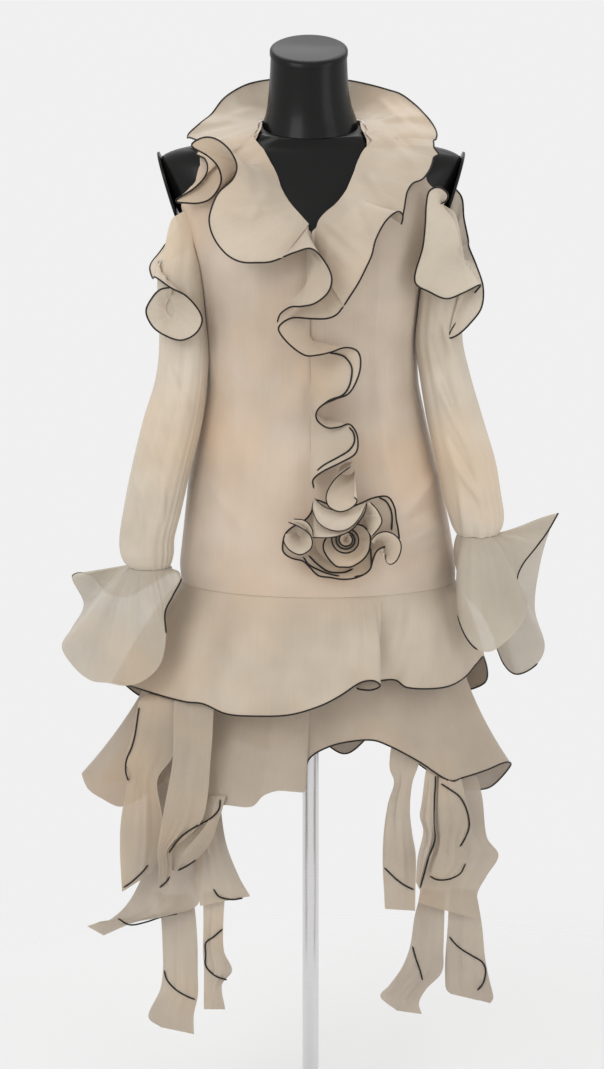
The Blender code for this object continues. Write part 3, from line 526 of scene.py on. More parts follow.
# The collar: the sewn edge's seen x, height and depth from the centre back, then the free edge's
COLLAR_RIGHT = [
    (-1.5, 1382, 75, -1, 1437, 98),
    (-14, 1382, 74, -26, 1436, 84),
    (-27, 1383, 69, -50, 1435, 98),
    (-40, 1383, 62, -78, 1430, 78),
    (-52, 1384, 52, -98, 1421, 72),
    (-60, 1385, 38, -114, 1409, 46),
    (-64, 1384, 22, -128, 1391, 30),
    (-66, 1383, 6, -143, 1379, 8),
    (-70, 1382, -8, -158, 1365, 4),
    (-73.5, 1380, -16, -156, 1357, -14),
    (-73, 1376, -24, -143, 1342, -48),
    (-72, 1371, -33, -134, 1327, -67),
    (-71, 1367, -39, -136, 1313, -77),
    (-70, 1363, -44, -150, 1297, -79),
    (-69, 1359, -49, -175, 1280, -72),
    (-67.5, 1355, -53, -160, 1277, -76),
    (-66.5, 1351, -56, -145, 1277, -80),
    (-65, 1346, -60, -131, 1282, -84),
    (-63, 1340, -64, -120, 1295, -88),
    (-61, 1334, -69, -116, 1309, -90),
    (-59, 1328, -74, -121, 1325, -91),
    (-57, 1323, -79, -134, 1338, -91),
    (-55, 1318, -84, -154, 1351, -90),
    (-52, 1312, -89, -139, 1361, -98),
    (-49, 1305, -94, -122, 1359, -107),
    (-46, 1298, -98, -105, 1345, -117),
    (-42, 1292, -101, -96, 1325, -125),
    (-39, 1287, -103, -101, 1308, -130),
    (-36, 1283, -105, -119, 1291, -134),
    (-33, 1279, -106, -128, 1273, -138),
    (-30, 1276, -107, -132, 1254, -142),
    (-26, 1272, -107, -126, 1232, -144),
    (-22, 1268, -109, -110, 1211, -152),
    (-18, 1264, -111, -91, 1201, -158),
    (-13, 1259, -113, -68, 1200, -160),
    (-8, 1254, -115, -53, 1201, -160),
    (-3, 1249, -116, -38, 1206, -158),
]
COLLAR_LEFT = [
    (1.5, 1382, 75, 2, 1437, 98),
    (14, 1382, 74, 26, 1436, 86),
    (27, 1383, 69, 52, 1433, 98),
    (40, 1383, 62, 76, 1428, 80),
    (52, 1384, 52, 98, 1422, 74),
    (60, 1385, 38, 116, 1416, 50),
    (64, 1384, 22, 133, 1404, 34),
    (66, 1383, 6, 146, 1391, 10),
    (70, 1381, -8, 157, 1377, 4),
    (73, 1373, -24, 162, 1364, -16),
    (72, 1364, -38, 158, 1352, -30),
    (70, 1353, -50, 158, 1337, -52),
    (67, 1341, -60, 154, 1322, -66),
    (64, 1330, -68, 144, 1308, -82),
    (61, 1320, -75, 131, 1302, -90),
    (57, 1311, -81, 124, 1290, -102),
    (53, 1303, -86, 121, 1272, -110),
    (48, 1294, -91, 117, 1250, -120),
    (43, 1286, -96, 119, 1261, -130),
    (38, 1279, -101, 112, 1266, -138),
    (32, 1273, -105, 97, 1254, -146),
    (24, 1267, -109, 84, 1230, -152),
    (16, 1260, -112, 79, 1210, -156),
    (10, 1252, -115, 71, 1192, -156),
    (7, 1240, -120, 62, 1174, -154),
    (6, 1224, -123, 52, 1158, -152),
    (6, 1205, -124, 43, 1144, -148),
]
# The cascade down the centre front: first the lobe that carries on the right collar, then the
# longer run of lobes that carries on the left collar
CASCADE_UPPER = [
    (-4, 1247, -119, -37, 1207, -159),
    (-4, 1244, -122, -19, 1214, -166),
    (-4, 1240, -123, 1, 1218, -170),
    (-4, 1232, -125, 18, 1201, -174),
    (-4, 1222, -127, 27, 1180, -176),
    (-4, 1210, -128, 22, 1161, -174),
    (-4, 1198, -128, 5, 1147, -168),
    (-4, 1186, -128, -12, 1143, -162),
    (-4, 1176, -127, -27, 1142, -154),
    (-4, 1166, -126, -40, 1133, -148),
    (-4, 1158, -125, -44, 1122, -145),
]
CASCADE_LOWER = [
    (6, 1204, -124, 42.5, 1143, -148),
    (6, 1188, -123, 33, 1132, -146),
    (5, 1172, -121, 20, 1127, -142),
    (4, 1160, -119, -1, 1127, -138),
    (2, 1150, -117, -24, 1128, -136),
    (0, 1142, -115, -39, 1120, -138),
    (-1, 1134, -113, -42, 1111, -142),
    (-2, 1126, -112, -28, 1093, -146),
    (-2, 1116, -110, -8, 1079, -148),
    (-2, 1108, -109, 8, 1079, -144),
    (-2, 1102, -108, 26, 1083, -138),
    (-1, 1096, -107, 45, 1089, -132),
    (0, 1090, -106, 60, 1085, -128),
    (0, 1082, -105, 65, 1072, -128),
    (0, 1070, -104, 62, 1051, -132),
    (0, 1056, -102, 50, 1029, -138),
    (0, 1046, -101, 32, 1021, -142),
    (-1, 1038, -101, 15, 1013, -142),
    (-2, 1030, -101, 7, 1003, -138),
    (-2, 1020, -101, 9, 992, -132),
    (-1, 1010, -102, 22, 983, -128),
    (0, 1002, -102, 37, 984, -126),
    (0, 996, -103, 50, 988, -127),
    (0, 988, -104, 59, 978, -130),
    (0, 978, -105, 62, 962, -136),
    (0, 966, -107, 58, 948, -142),
    (0, 956, -109, 40, 937, -146),
    (-1, 944, -111, 16, 925, -146),
    (-2, 934, -113, 3, 914, -142),
    (-2, 922, -114, 4, 902, -138),
]

# The cascade's second row of piping, inside its lobes, as seen
CASCADE_SECOND = [
    [
        (24, 1082), (36, 1080), (45, 1076), (53, 1064), (53, 1050), (49, 1036), (41, 1026), (25, 1020),
        (14, 1012),
    ],
    [(50, 984), (56, 976), (57, 964), (50, 953), (36, 944), (18, 934), (8, 926)],
]

# The rosette: three turned ruffles round one middle, each with the sewn edge's radius and depth and
# the free edge's angle and distance from the middle, as seen, and depth
ROSETTE_MIDDLE = (36, 832)
ROSETTE_OUTER = [
    (0, 80, -132), (10, 81, -128), (20, 82, -132), (31, 87, -138), (42, 88, -140), (51, 74, -144),
    (62, 55, -148), (80, 46, -146), (100, 48, -142), (119, 62, -138), (133, 52, -140), (148, 52, -142),
    (162, 62, -140), (172, 70, -138), (182, 73, -138), (192, 74, -144), (201, 66, -150), (211, 54, -148),
    (223, 52, -142), (241, 54, -138), (258, 51, -142), (278, 53, -146), (297, 56, -142), (316, 58, -138),
    (332, 53, -140), (346, 54, -144), (354, 66, -140),
]
ROSETTE_INNER = [
    (0, 32, -150), (18, 31.6, -150), (38, 29.2, -149), (53, 26, -148), (90, 23, -147), (138, 23, -147),
    (173, 26.2, -148), (188, 30.3, -149), (205, 33, -150), (228, 34.7, -151), (250, 38, -151),
    (265, 37.1, -151), (282, 36.9, -151), (309, 34.8, -151), (333, 33.5, -150),
]
# Turns of the coil, its free edge's radius from the middle out, and its middle, as seen
COIL_TURNS = 3.0
COIL_RADIUS = (8.0, 21.5)
COIL_MIDDLE = (47, 833)
# The outer ruffle's second row of piping, as seen
ROSETTE_SECOND = [
    [(90, 890), (100, 884), (107, 868), (107, 846)],
    [(-10, 810), (-3, 800), (9, 793), (24, 787), (38, 784)],
    [(-3, 812), (9, 800), (24, 790), (44, 789), (56, 794)],
    [(79, 822), (80, 806), (79, 794), (70, 786), (58, 783)],
]
# Petals laid over the rosette: the sewn edge's seen x, height and depth, then the free edge's
PETALS = {
    "low": [
        (4, 866, -146, 2, 836, -160),
        (8, 861, -148, 9, 836, -166),
        (18, 856, -150, 24, 836, -170),
        (32, 854, -152, 39, 839, -173),
        (45, 856, -152, 52, 845, -174),
        (56, 863, -152, 62, 855, -173),
        (65, 872, -152, 71, 869, -170),
        (71, 880, -150, 74, 883, -164),
    ],
    "top": [
        (5, 889, -158, 3, 884, -162),
        (10, 883, -164, 3, 873, -170),
        (20, 876, -168, 9, 858, -175),
        (32, 873, -170, 20, 849, -178),
        (45, 873, -170, 34, 845, -180),
        (55, 877, -168, 47, 847, -180),
        (62, 880, -165, 58, 855, -178),
        (68, 882, -161, 66, 867, -173),
        (72, 884, -156, 71, 880, -163),
    ],
    "loop": [
        (54, 938, -116, 52, 931, -140),
        (46, 936, -116, 35, 918, -152),
        (40, 932, -117, 24, 903, -164),
        (38, 928, -118, 20, 890, -172),
        (38, 924, -118, 23, 879, -179),
        (40, 922, -118, 31, 873, -183),
        (44, 920, -118, 40, 871, -185),
        (49, 920, -118, 50, 874, -184),
        (54, 922, -118, 58, 880, -180),
        (57, 925, -118, 61, 886, -176),
        (58, 928, -117, 57, 891, -171),
    ],
    "small": [
        (-18, 850, -146, -23, 861, -154),
        (-12, 847, -147, -11, 860, -158),
        (-8, 843, -148, -3, 855, -160),
        (-5, 838, -148, 2, 846, -161),
        (-4, 833, -148, 3, 835, -160),
    ],
    "curl": [
        (-8, 856, -140, -30, 857, -160),
        (-5, 852, -142, -16, 851, -166),
        (-7, 848, -142, -3, 842, -170),
        (-9, 844, -142, 2, 831, -170),
        (-11, 840, -142, -1, 820, -169),
        (-13, 838, -142, -14, 813, -168),
        (-16, 838, -142, -28, 819, -166),
        (-18, 840, -142, -36, 831, -163),
        (-20, 844, -142, -34, 841, -160),
    ],
    "leaf": [
        (67, 880, -140, 78, 884, -156),
        (69, 874, -142, 88, 873, -161),
        (70, 866, -142, 94, 859, -164),
        (71, 858, -142, 90, 849, -165),
        (73, 850, -142, 81, 838, -163),
    ],
    "right": [
        (84, 828, -138, 80, 832, -150),
        (87, 831, -138, 88, 841, -156),
        (90, 832, -138, 100, 844, -160),
        (94, 830, -138, 112, 839, -162),
        (96, 826, -138, 119, 829, -163),
        (97, 820, -138, 119, 817, -163),
        (96, 816, -138, 113, 804, -161),
        (94, 814, -138, 105, 800, -158),
        (92, 815, -138, 99, 806, -154),
        (91, 818, -138, 98, 815, -150),
    ],
}
ROLLED = ("top",)


# The skirt: seam angle, then the free edge's seen x, height and depth
UPPER_FLOUNCE = [
    (-90, -264, 640, 8),
    (-76, -236, 632, -60),
    (-64, -202, 621, -96),
    (-54, -168, 612, -120),
    (-46, -144, 609, -130),
    (-39, -112, 595, -156),
    (-28, -70, 592, -166),
    (-12, -28, 594, -160),
    (0, 12, 606, -152),
    (10, 39, 620, -156),
    (17, 66, 638, -170),
    (20, 84, 641, -176),
    (23, 93, 634, -170),
    (26, 80, 628, -158),
    (29, 62, 631, -146),
    (34, 88, 640, -134),
    (39, 113, 642, -128),
    (44, 128, 632, -134),
    (54, 160, 630, -126),
    (63, 186, 634, -104),
    (71, 206, 646, -74),
    (79, 221, 664, -44),
    (88, 231, 673, -12),
    (102, 234, 640, 40),
    (118, 196, 622, 96),
    (132, 158, 600, 142),
    (146, 110, 618, 132),
    (160, 62, 596, 168),
    (174, 18, 616, 142),
    (188, -30, 596, 170),
    (202, -78, 618, 138),
    (216, -122, 600, 158),
    (230, -178, 624, 118),
    (246, -222, 618, 104),
    (258, -254, 640, 60),
]
LOWER_FLOUNCE = [
    (-90, -308, 513, 10),
    (-83, -300, 491, -26),
    (-76, -281, 477, -52),
    (-68, -257, 466, -72),
    (-60, -232, 476, -80),
    (-54, -213, 489, -82),
    (-48, -194, 500, -90),
    (-41, -168, 488, -96),
    (-33, -141, 471, -104),
    (-26, -112, 468, -118),
    (-19, -80, 466, -132),
    (-14, -64, 481, -136),
    (-9, -45, 488, -134),
    (-5, -24, 487, -130),
    (-2.5, -8, 487, -126),
    (-1.5, -7, 501, -121),
    (-0.5, -7, 517, -117),
    (2, -2, 533, -114),
    (8, 14, 545, -114),
    (19, 42, 555, -120),
    (27, 80, 559, -126),
    (33, 103, 552, -128),
    (41, 144, 530, -122),
    (50, 186, 503, -104),
    (58, 206, 507, -94),
    (66, 236, 517, -70),
    (74, 262, 528, -42),
    (80, 269, 524, -22),
    (88, 250, 500, 10),
    (96, 234, 491, 40),
    (106, 208, 492, 72),
    (120, 168, 510, 96),
    (134, 128, 540, 126),
    (148, 92, 572, 118),
    (162, 46, 540, 136),
    (176, -6, 570, 124),
    (190, -52, 545, 142),
    (206, -104, 560, 120),
    (220, -150, 530, 128),
    (236, -206, 520, 100),
    (250, -262, 500, 84),
    (261, -296, 500, 48),
]


# Streamers: seen x, height and depth of one edge, then of the other edge, from the top down
STREAMERS_RIGHT = {
    "a": [
        (-226, 640, -90, -184, 640, -98),
        (-233, 600, -96, -180, 600, -108),
        (-240, 566, -96, -180, 570, -110),
        (-250, 531, -90, -186, 535, -108),
        (-247, 503, -84, -206, 503, -104),
        (-256, 450, -82, -200, 452, -94),
        (-258, 405, -84, -202, 408, -80),
        (-256, 346, -84, -217, 372, -74),
    ],
    "b": [
        (-180, 640, -106, -126, 640, -118),
        (-184, 600, -112, -130, 600, -126),
        (-186, 531, -122, -134, 540, -126),
        (-200, 450, -122, -146, 450, -120),
        (-207, 405, -112, -188, 404, -110),
        (-206, 380, -106, -188, 385, -104),
        (-206, 350, -100, -193, 356, -102),
    ],
    "c": [
        (-138, 482, -110, -114, 482, -116),
        (-146, 446, -108, -122, 454, -124),
        (-168, 428, -100, -136, 414, -122),
        (-186, 406, -96, -160, 386, -114),
        (-188, 376, -96, -176, 376, -104),
    ],
    "d": [
        (-214, 524, -62, -190, 524, -76),
        (-222, 450, -58, -146, 450, -72),
        (-226, 380, -50, -146, 385, -70),
        (-240, 344, -46, -150, 350, -74),
        (-256, 321, -44, -155, 326, -74),
        (-276, 305, -42, -190, 313, -70),
        (-293, 301, -42, -240, 302, -60),
        (-304, 297, -42, -282, 284, -54),
    ],
    "e": [
        (-152, 544, -90, -130, 544, -100),
        (-164, 480, -86, -122, 470, -98),
        (-160, 420, -84, -114, 415, -102),
        (-158, 370, -88, -97, 368, -100),
        (-150, 326, -92, -82, 340, -92),
    ],
    "f": [
        (-206, 345, -40, -160, 345, -60),
        (-203, 300, -42, -156, 305, -62),
        (-202, 262, -48, -154, 265, -66),
        (-202, 235, -54, -154, 235, -68),
        (-206, 205, -62, -154, 200, -64),
        (-222, 168, -68, -160, 170, -58),
        (-205, 152, -68, -160, 142, -58),
    ],
    "g": [
        (-146, 350, -80, -116, 346, -84),
        (-146, 300, -80, -119, 300, -88),
        (-147, 262, -76, -118, 262, -86),
        (-146, 236, -74, -107, 234, -90),
        (-146, 205, -76, -121, 213, -84),
        (-146, 178, -80, -117, 178, -78),
    ],
}
STREAMERS_LEFT = {
    "a": [
        (110, 572, -108, 150, 566, -104),
        (106, 523, -106, 146, 528, -106),
        (112, 500, -100, 137, 500, -110),
        (104, 470, -98, 134, 464, -110),
        (99, 430, -100, 137, 430, -102),
        (98, 388, -106, 142, 398, -96),
        (100, 345, -106, 142, 350, -96),
        (101, 322, -102, 142, 319, -98),
    ],
    "b": [
        (156, 530, -106, 170, 526, -104),
        (150, 475, -112, 169, 480, -120),
        (147, 452, -112, 168, 446, -122),
        (152, 430, -114, 170, 418, -120),
        (145, 395, -112, 160, 384, -118),
        (143, 360, -112, 149, 347, -114),
    ],
    "c": [
        (174, 526, -102, 200, 520, -92),
        (172, 480, -116, 208, 482, -106),
        (172, 446, -116, 217, 446, -106),
        (172, 412, -114, 207, 410, -112),
        (165, 388, -112, 212, 388, -110),
        (160, 366, -110, 190, 362, -114),
    ],
    "d": [
        (182, 560, -96, 208, 556, -66),
        (167, 500, -96, 230, 486, -70),
        (166, 446, -94, 238, 424, -72),
        (163, 415, -92, 254, 398, -70),
        (156, 385, -92, 238, 368, -76),
        (150, 355, -94, 226, 341, -82),
        (146, 330, -96, 232, 306, -82),
    ],
    "e": [
        (152, 352, -86, 182, 348, -78),
        (142, 312, -86, 182, 310, -76),
        (136, 268, -86, 181, 266, -74),
        (125, 237, -87, 179, 232, -72),
        (108, 212, -91, 158, 208, -72),
        (96, 196, -95, 148, 188, -72),
        (118, 176, -93, 152, 171, -74),
    ],
    "f": [
        (188, 352, -78, 224, 350, -72),
        (187, 300, -74, 233, 300, -66),
        (184, 250, -68, 238, 252, -68),
        (184, 218, -64, 244, 222, -72),
        (186, 206, -64, 250, 196, -72),
        (192, 200, -66, 246, 187, -70),
    ],
}
# Piping on the streamers, as seen, by the streamer that it is sewn to
STREAMER_PIPING = {
    "right": {
        "a": [
            [(-230, 604), (-233, 585), (-236, 566), (-241, 548), (-248, 531), (-249, 515), (-246, 503)],
            [(-254, 352), (-245, 358), (-236, 366), (-228, 374), (-220, 384)],
        ],
        "b": [[(-186, 398), (-184, 384), (-188, 373), (-196, 360), (-205, 352)]],
        "c": [
            [(-122, 476), (-124, 462), (-136, 449), (-152, 440), (-169, 429), (-182, 416), (-192, 401)],
            [(-122, 454), (-127, 434), (-136, 412), (-150, 396), (-164, 385), (-180, 376)],
        ],
        "d": [[(-262, 308), (-246, 299), (-224, 303), (-197, 312), (-160, 318)]],
        "e": [[(-132, 350), (-124, 339), (-107, 335), (-92, 337)]],
        "f": [[(-200, 234), (-196, 220), (-184, 206), (-168, 196), (-158, 192)]],
        "g": [[(-120, 293), (-132, 282), (-143, 273), (-143, 258), (-143, 240), (-130, 226), (-114, 220)]],
    },
    "left": {
        "a": [[(100, 380), (108, 372), (116, 364), (128, 355), (140, 349)]],
        "b": [
            [(168, 509), (168, 495), (167, 480), (167, 446), (168, 420), (160, 395), (154, 372), (149, 352)],
        ],
        "c": [
            [(176, 498), (188, 490), (200, 481), (208, 468), (213, 452), (214, 436), (208, 420), (202, 410)],
            [(210, 386), (203, 372), (188, 364), (172, 363), (162, 368)],
        ],
        "e": [[(139, 268), (144, 250), (150, 232), (153, 220)]],
        "f": [
            [(189, 282), (197, 272), (206, 264), (220, 255), (234, 246), (239, 234), (236, 216), (228, 205)],
        ],
    },
}
# What carries each streamer's top and on which side of it the streamer lies: 1 in front, -1 behind
CARRIED_RIGHT = {
    "a": ("lower", 1), "b": ("lower", 1), "c": ("lower", 1), "d": ("lower", -1),
    "e": ("lower", -1), "f": ("d", -1), "g": ("e", -1),
}
CARRIED_LEFT = {
    "a": ("lower", -1), "b": ("lower", -1), "c": ("lower", -1), "d": ("lower", -1),
    "e": ("d", -1), "f": ("d", -1),
}


# Cloth

def fine(rows, step=4.0):
    """The sections at every few millimetres of height, with the corners between rows rounded."""
    heights = np.arange(rows[0][0], rows[-1][0] + step, step)
    table = np.array(rows, float)
    columns = [heights]
    for k in range(1, 5):
        raw = np.interp(heights, table[:, 0], table[:, k])
        soft = raw.copy()
        for i, h in enumerate(heights):
            reach = 11.0 if h < 1290 else 4.0
            weight = np.exp(-(((heights - h) / reach) ** 2))
            soft[i] = (raw * weight).sum() / weight.sum()
        columns.append(soft)
    return [tuple(row) for row in np.array(columns).T]


def as_array(grid):
    return np.array([[tuple(p) for p in row] for row in grid])


def normals_of(g, closed):
    """The direction square to the cloth at each point."""
    along = np.roll(g, -1, 0) - np.roll(g, 1, 0) if closed else np.gradient(g, axis=0)
    across = np.gradient(g, axis=1)
    n = np.cross(along, across)
    return n / (np.linalg.norm(n, axis=2, keepdims=True) + 1e-9)


def folded(grid, folds, closed=False):
    """Soft folds that run from the sewn edge to the free edge.

    A row holds how many folds there are, how high they stand near the sewn edge, in the middle and
    at the free edge, and how far they slant on the way.
    """
    g = as_array(grid)
    n, m = g.shape[:2]
    t = np.arange(n)[:, None] / (n if closed else n - 1)
    s = np.linspace(0, 1, m)[None, :]
    rise = np.zeros((n, m))
    for k, (count, sewn, middle, free, slant) in enumerate(folds):
        slow = 1.5 * np.sin(2 * math.pi * (2 * t + 0.3 * k))
        quick = 0.8 * np.sin(2 * math.pi * (5 * t + 0.6 * k))
        uneven = slow + quick
        swell = 0.58 + 0.42 * np.sin(2 * math.pi * (3 * t + 0.41 * k))
        wave = np.sin(2 * math.pi * count * t + uneven + slant * s)
        profile = sewn * 6.75 * s * (1 - s) ** 2 + middle * 4 * s * (1 - s) + free * s**2
        rise += wave * swell * profile
    return g + normals_of(g, closed) * rise[:, :, None]


def creased(g, creases, closed=False):
    """Soft ridges and troughs on the side that faces the viewer, along lines as seen.

    A row holds the line's ends, each as x and height, and the crease's half width and rise.
    """
    share = (g[:, :, 1] - EYE[1]) / -EYE[1]
    across = EYE[0] + (g[:, :, 0] - EYE[0]) / share
    up = EYE[2] + (g[:, :, 2] - EYE[2]) / share
    spots = np.stack([across, up], axis=2)
    n = normals_of(g, closed)
    n = np.where(n[:, :, 1:2] > 0, -n, n)
    rise = np.zeros(g.shape[:2])
    for x0, z0, x1, z1, width, height in creases:
        start = np.array((x0, z0))
        run = np.array((x1, z1)) - start
        t = np.clip(((spots - start) @ run) / (run @ run), 0, 1)
        off = np.linalg.norm(spots - start - t[:, :, None] * run, axis=2)
        rise += height * np.exp(-((off / width) ** 2)) * np.sin(math.pi * t) ** 0.8
    if closed:
        rise *= np.clip((g[:, :, 1].mean(axis=0, keepdims=True) - g[:, :, 1]) / 15, 0, 1)
    return g + n * rise[:, :, None]


def lengths(g, closed):
    """Average distances between the rows and between the columns, summed from the first."""
    ring = np.concatenate([g, g[:1]]) if closed else g
    along = np.linalg.norm(np.diff(ring, axis=0), axis=2).mean(axis=1)
    across = np.linalg.norm(np.diff(g, axis=1), axis=2).mean(axis=0)
    return np.concatenate([[0], np.cumsum(along)]), np.concatenate([[0], np.cumsum(across)])


def apply_all(thing):
    """Applies the piece's modifiers."""
    bpy.ops.object.select_all(action="DESELECT")
    thing.select_set(True)
    bpy.context.view_layer.objects.active = thing
    for modifier in list(thing.modifiers):
        bpy.ops.object.modifier_apply(modifier=modifier.name)


def cloth(name, g, look, closed=False):
    """A thin cloth shell whose middle is the grid, with its weave's map in metres of cloth."""
    n, m = g.shape[:2]
    across = m
    steps = n if closed else n - 1
    faces = []
    places = []
    u, v = (x * MM for x in lengths(g, closed))
    for i in range(steps):
        a = i * across
        b = (i + 1) % n * across
        for j in range(m - 1):
            faces.append((a + j, b + j, b + j + 1, a + j + 1))
            places += [(u[i], v[j]), (u[i + 1], v[j]), (u[i + 1], v[j + 1]), (u[i], v[j + 1])]
    mesh = bpy.data.meshes.new(name)
    mesh.from_pydata((g.reshape(-1, 3) * MM).tolist(), [], faces)
    layer = mesh.uv_layers.new(name="weave")
    layer.data.foreach_set("uv", np.array(places, np.float32).ravel())
    mesh.materials.append(look)
    thing = bpy.data.objects.new(name, mesh)
    bpy.context.scene.collection.objects.link(thing)
    wall = thing.modifiers.new("wall", "SOLIDIFY")
    wall.thickness = SHELL * MM
    wall.offset = 0
    apply_all(thing)
    bpy.ops.object.shade_smooth_by_angle(angle=math.radians(60))
    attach(thing, "root")
    return thing


def even(points, step, closed=False):
    """The line's points again, about one step apart."""
    p = np.array([tuple(x) for x in points])
    if closed:
        p = np.vstack([p, p[:1]])
    keep = np.concatenate([[True], np.linalg.norm(np.diff(p, axis=0), axis=1) > 1e-6])
    p = p[keep]
    run = np.concatenate([[0], np.cumsum(np.linalg.norm(np.diff(p, axis=0), axis=1))])
    count = max(3, int(round(run[-1] / step)))
    at = np.linspace(0, run[-1], count + 1)
    if closed:
        at = at[:-1]
    return np.array([[np.interp(a, run, p[:, k]) for k in range(3)] for a in at])


def tube(name, lines, look, radius=PIPING, step=2.6, sides=8):
    """Round piping along one or more lines, each given as (points, closed), with rounded ends."""
    verts = []
    faces = []
    for points, closed in lines:
        p = even(points, step, closed)
        n = len(p)
        tangent = np.roll(p, -1, 0) - np.roll(p, 1, 0) if closed else np.gradient(p, axis=0)
        tangent /= np.linalg.norm(tangent, axis=1, keepdims=True) + 1e-9
        side = np.cross(tangent[0], (0.3, 0.5, 0.8))
        side /= np.linalg.norm(side)
        sides_of = []
        for k in range(n):
            side = side - tangent[k] * side.dot(tangent[k])
            side /= np.linalg.norm(side)
            sides_of.append(side)
        turn = 0.0
        if closed:
            last = sides_of[-1] - tangent[0] * sides_of[-1].dot(tangent[0])
            last /= np.linalg.norm(last)
            turn = math.atan2(np.cross(last, sides_of[0]).dot(tangent[0]), last.dot(sides_of[0]))
        first = len(verts)
        for k in range(n):
            a = sides_of[k]
            b = np.cross(tangent[k], a)
            r = radius if closed or 0 < k < n - 1 else radius * 0.45
            for q in range(sides):
                w = 2 * math.pi * q / sides + turn * k / n
                verts.append(tuple((p[k] + (a * math.cos(w) + b * math.sin(w)) * r) * MM))
        for k in range(n if closed else n - 1):
            c = first + k * sides
            d = first + (k + 1) % n * sides
            for q in range(sides):
                e = (q + 1) % sides
                faces.append((c + q, c + e, d + e, d + q))
        if not closed:
            faces.append(tuple(first + q for q in reversed(range(sides))))
            faces.append(tuple(first + (n - 1) * sides + q for q in range(sides)))
    mesh = bpy.data.meshes.new(name)
    mesh.from_pydata(verts, [], faces)
    mesh.materials.append(look)
    mesh.shade_smooth()
    thing = bpy.data.objects.new(name, mesh)
    bpy.context.scene.collection.objects.link(thing)
    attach(thing, "root")
    return thing


def fine_tree(g, closed=False):
    return tree([[Vector(p) for p in row] for row in g], closed)


def on_cloth(points, trees, lift=1.2):
    """A line that shows at the given (x, height) points and lies on the nearest cloth behind them."""
    rows = [(x, 0.0, z) for x, z in points]
    eye = Vector(EYE)
    out = []
    depth = None
    for x, _, z in smooth(rows, max(12, 5 * len(rows))):
        aim = (seen(x, z, 0) - eye).normalized()
        best = None
        for t in trees:
            spot, _, _, far = t.ray_cast(eye, aim)
            if spot is not None and (best is None or far < best):
                best = far
        if best is None:
            best = depth
        if best is None:
            continue
        if depth is not None and abs(best - depth) > 14:
            best = depth
        depth = best
        out.append(eye + aim * (best - lift))
    return out


def strip(rows, along, across, coarse, crown=0.0, under=(), gap=LAID_ON):
    """Points of a ruffle from its sewn edge to its free edge, as fine as asked.

    A row holds the sewn edge's seen x, height and depth, and then the free edge's. `coarse` is how
    many steps the plain solid has across, `crown` how far the middle stands out, and `under` holds
    the cloths that it stays in front of by the gap.
    """
    grid = []
    for r in smooth(rows, along):
        sewn = seen(*r[:3])
        free = seen(*r[3:])
        away = Vector((free.x + sewn.x, free.y + sewn.y - 60, 0)).normalized()
        line = []
        for j in range(across + 1):
            s = j / across
            p = clear(sewn.lerp(free, s) + away * crown * 4 * s * (1 - s), BODY, LAID_ON + 2 * s * coarse)
            line.append(in_front(p, under, gap) if under else p)
        grid.append(line)
    return grid


def seated(grid, straight=False):
    """The grid with its sewn edge brought onto the cloth body, and the next columns eased after it."""
    for line in grid:
        p = line[0]
        width, front, back, centre = reach_of(BODY, p.z, LAID_ON)
        if straight:
            spot = Vector((p.x, 0.5 - front * math.sqrt(1 - ((p.x - centre) / width) ** 2), p.z))
        else:
            depth = front if p.y < 0 else back
            reach = math.hypot((p.x - centre) / width, p.y / depth)
            spot = Vector((centre + (p.x - centre) / reach, p.y / reach, p.z))
        shift = spot - p
        count = len(line) - 1
        for j in range(count):
            line[j] = line[j] + shift * max(0.0, 1 - 4 * j / count)
    return grid


# Finishes

def shader_of(name, roughness, metallic=0.0, sheen=0.0, coat=0.0, alpha=1.0, ior=1.45):
    made = bpy.data.materials.new(name)
    made.use_nodes = True
    tree_of = made.node_tree
    shader = tree_of.nodes["Principled BSDF"]
    shader.inputs["Roughness"].default_value = roughness
    shader.inputs["Metallic"].default_value = metallic
    shader.inputs["IOR"].default_value = ior
    shader.inputs["Sheen Weight"].default_value = sheen
    shader.inputs["Sheen Roughness"].default_value = 0.45
    shader.inputs["Coat Weight"].default_value = coat
    shader.inputs["Coat Roughness"].default_value = 0.12
    shader.inputs["Alpha"].default_value = alpha
    return made, tree_of, shader


def node(tree_of, kind, **sockets):
    made = tree_of.nodes.new(kind)
    for key, value in sockets.items():
        made.inputs[key.replace("_", " ")].default_value = value
    return made


def blended(tree_of, low, high, factor):
    """A colour between two, by a socket from 0 to 1."""
    mix = tree_of.nodes.new("ShaderNodeMix")
    mix.data_type = "RGBA"
    mix.inputs[6].default_value = (*low, 1)
    mix.inputs[7].default_value = (*high, 1)
    tree_of.links.new(factor, mix.inputs[0])
    return mix.outputs[2]


def ranged(tree_of, value, **ends):
    """A socket's value, moved to another range."""
    made = node(tree_of, "ShaderNodeMapRange", **ends)
    tree_of.links.new(value, made.inputs["Value"])
    return made.outputs["Result"]


def bumped(tree_of, shader, height, strength, distance):
    """Gives a finish its relief, by a height socket."""
    bump = node(tree_of, "ShaderNodeBump", Strength=strength, Distance=distance)
    tree_of.links.new(height, bump.inputs["Height"])
    tree_of.links.new(bump.outputs["Normal"], shader.inputs["Normal"])


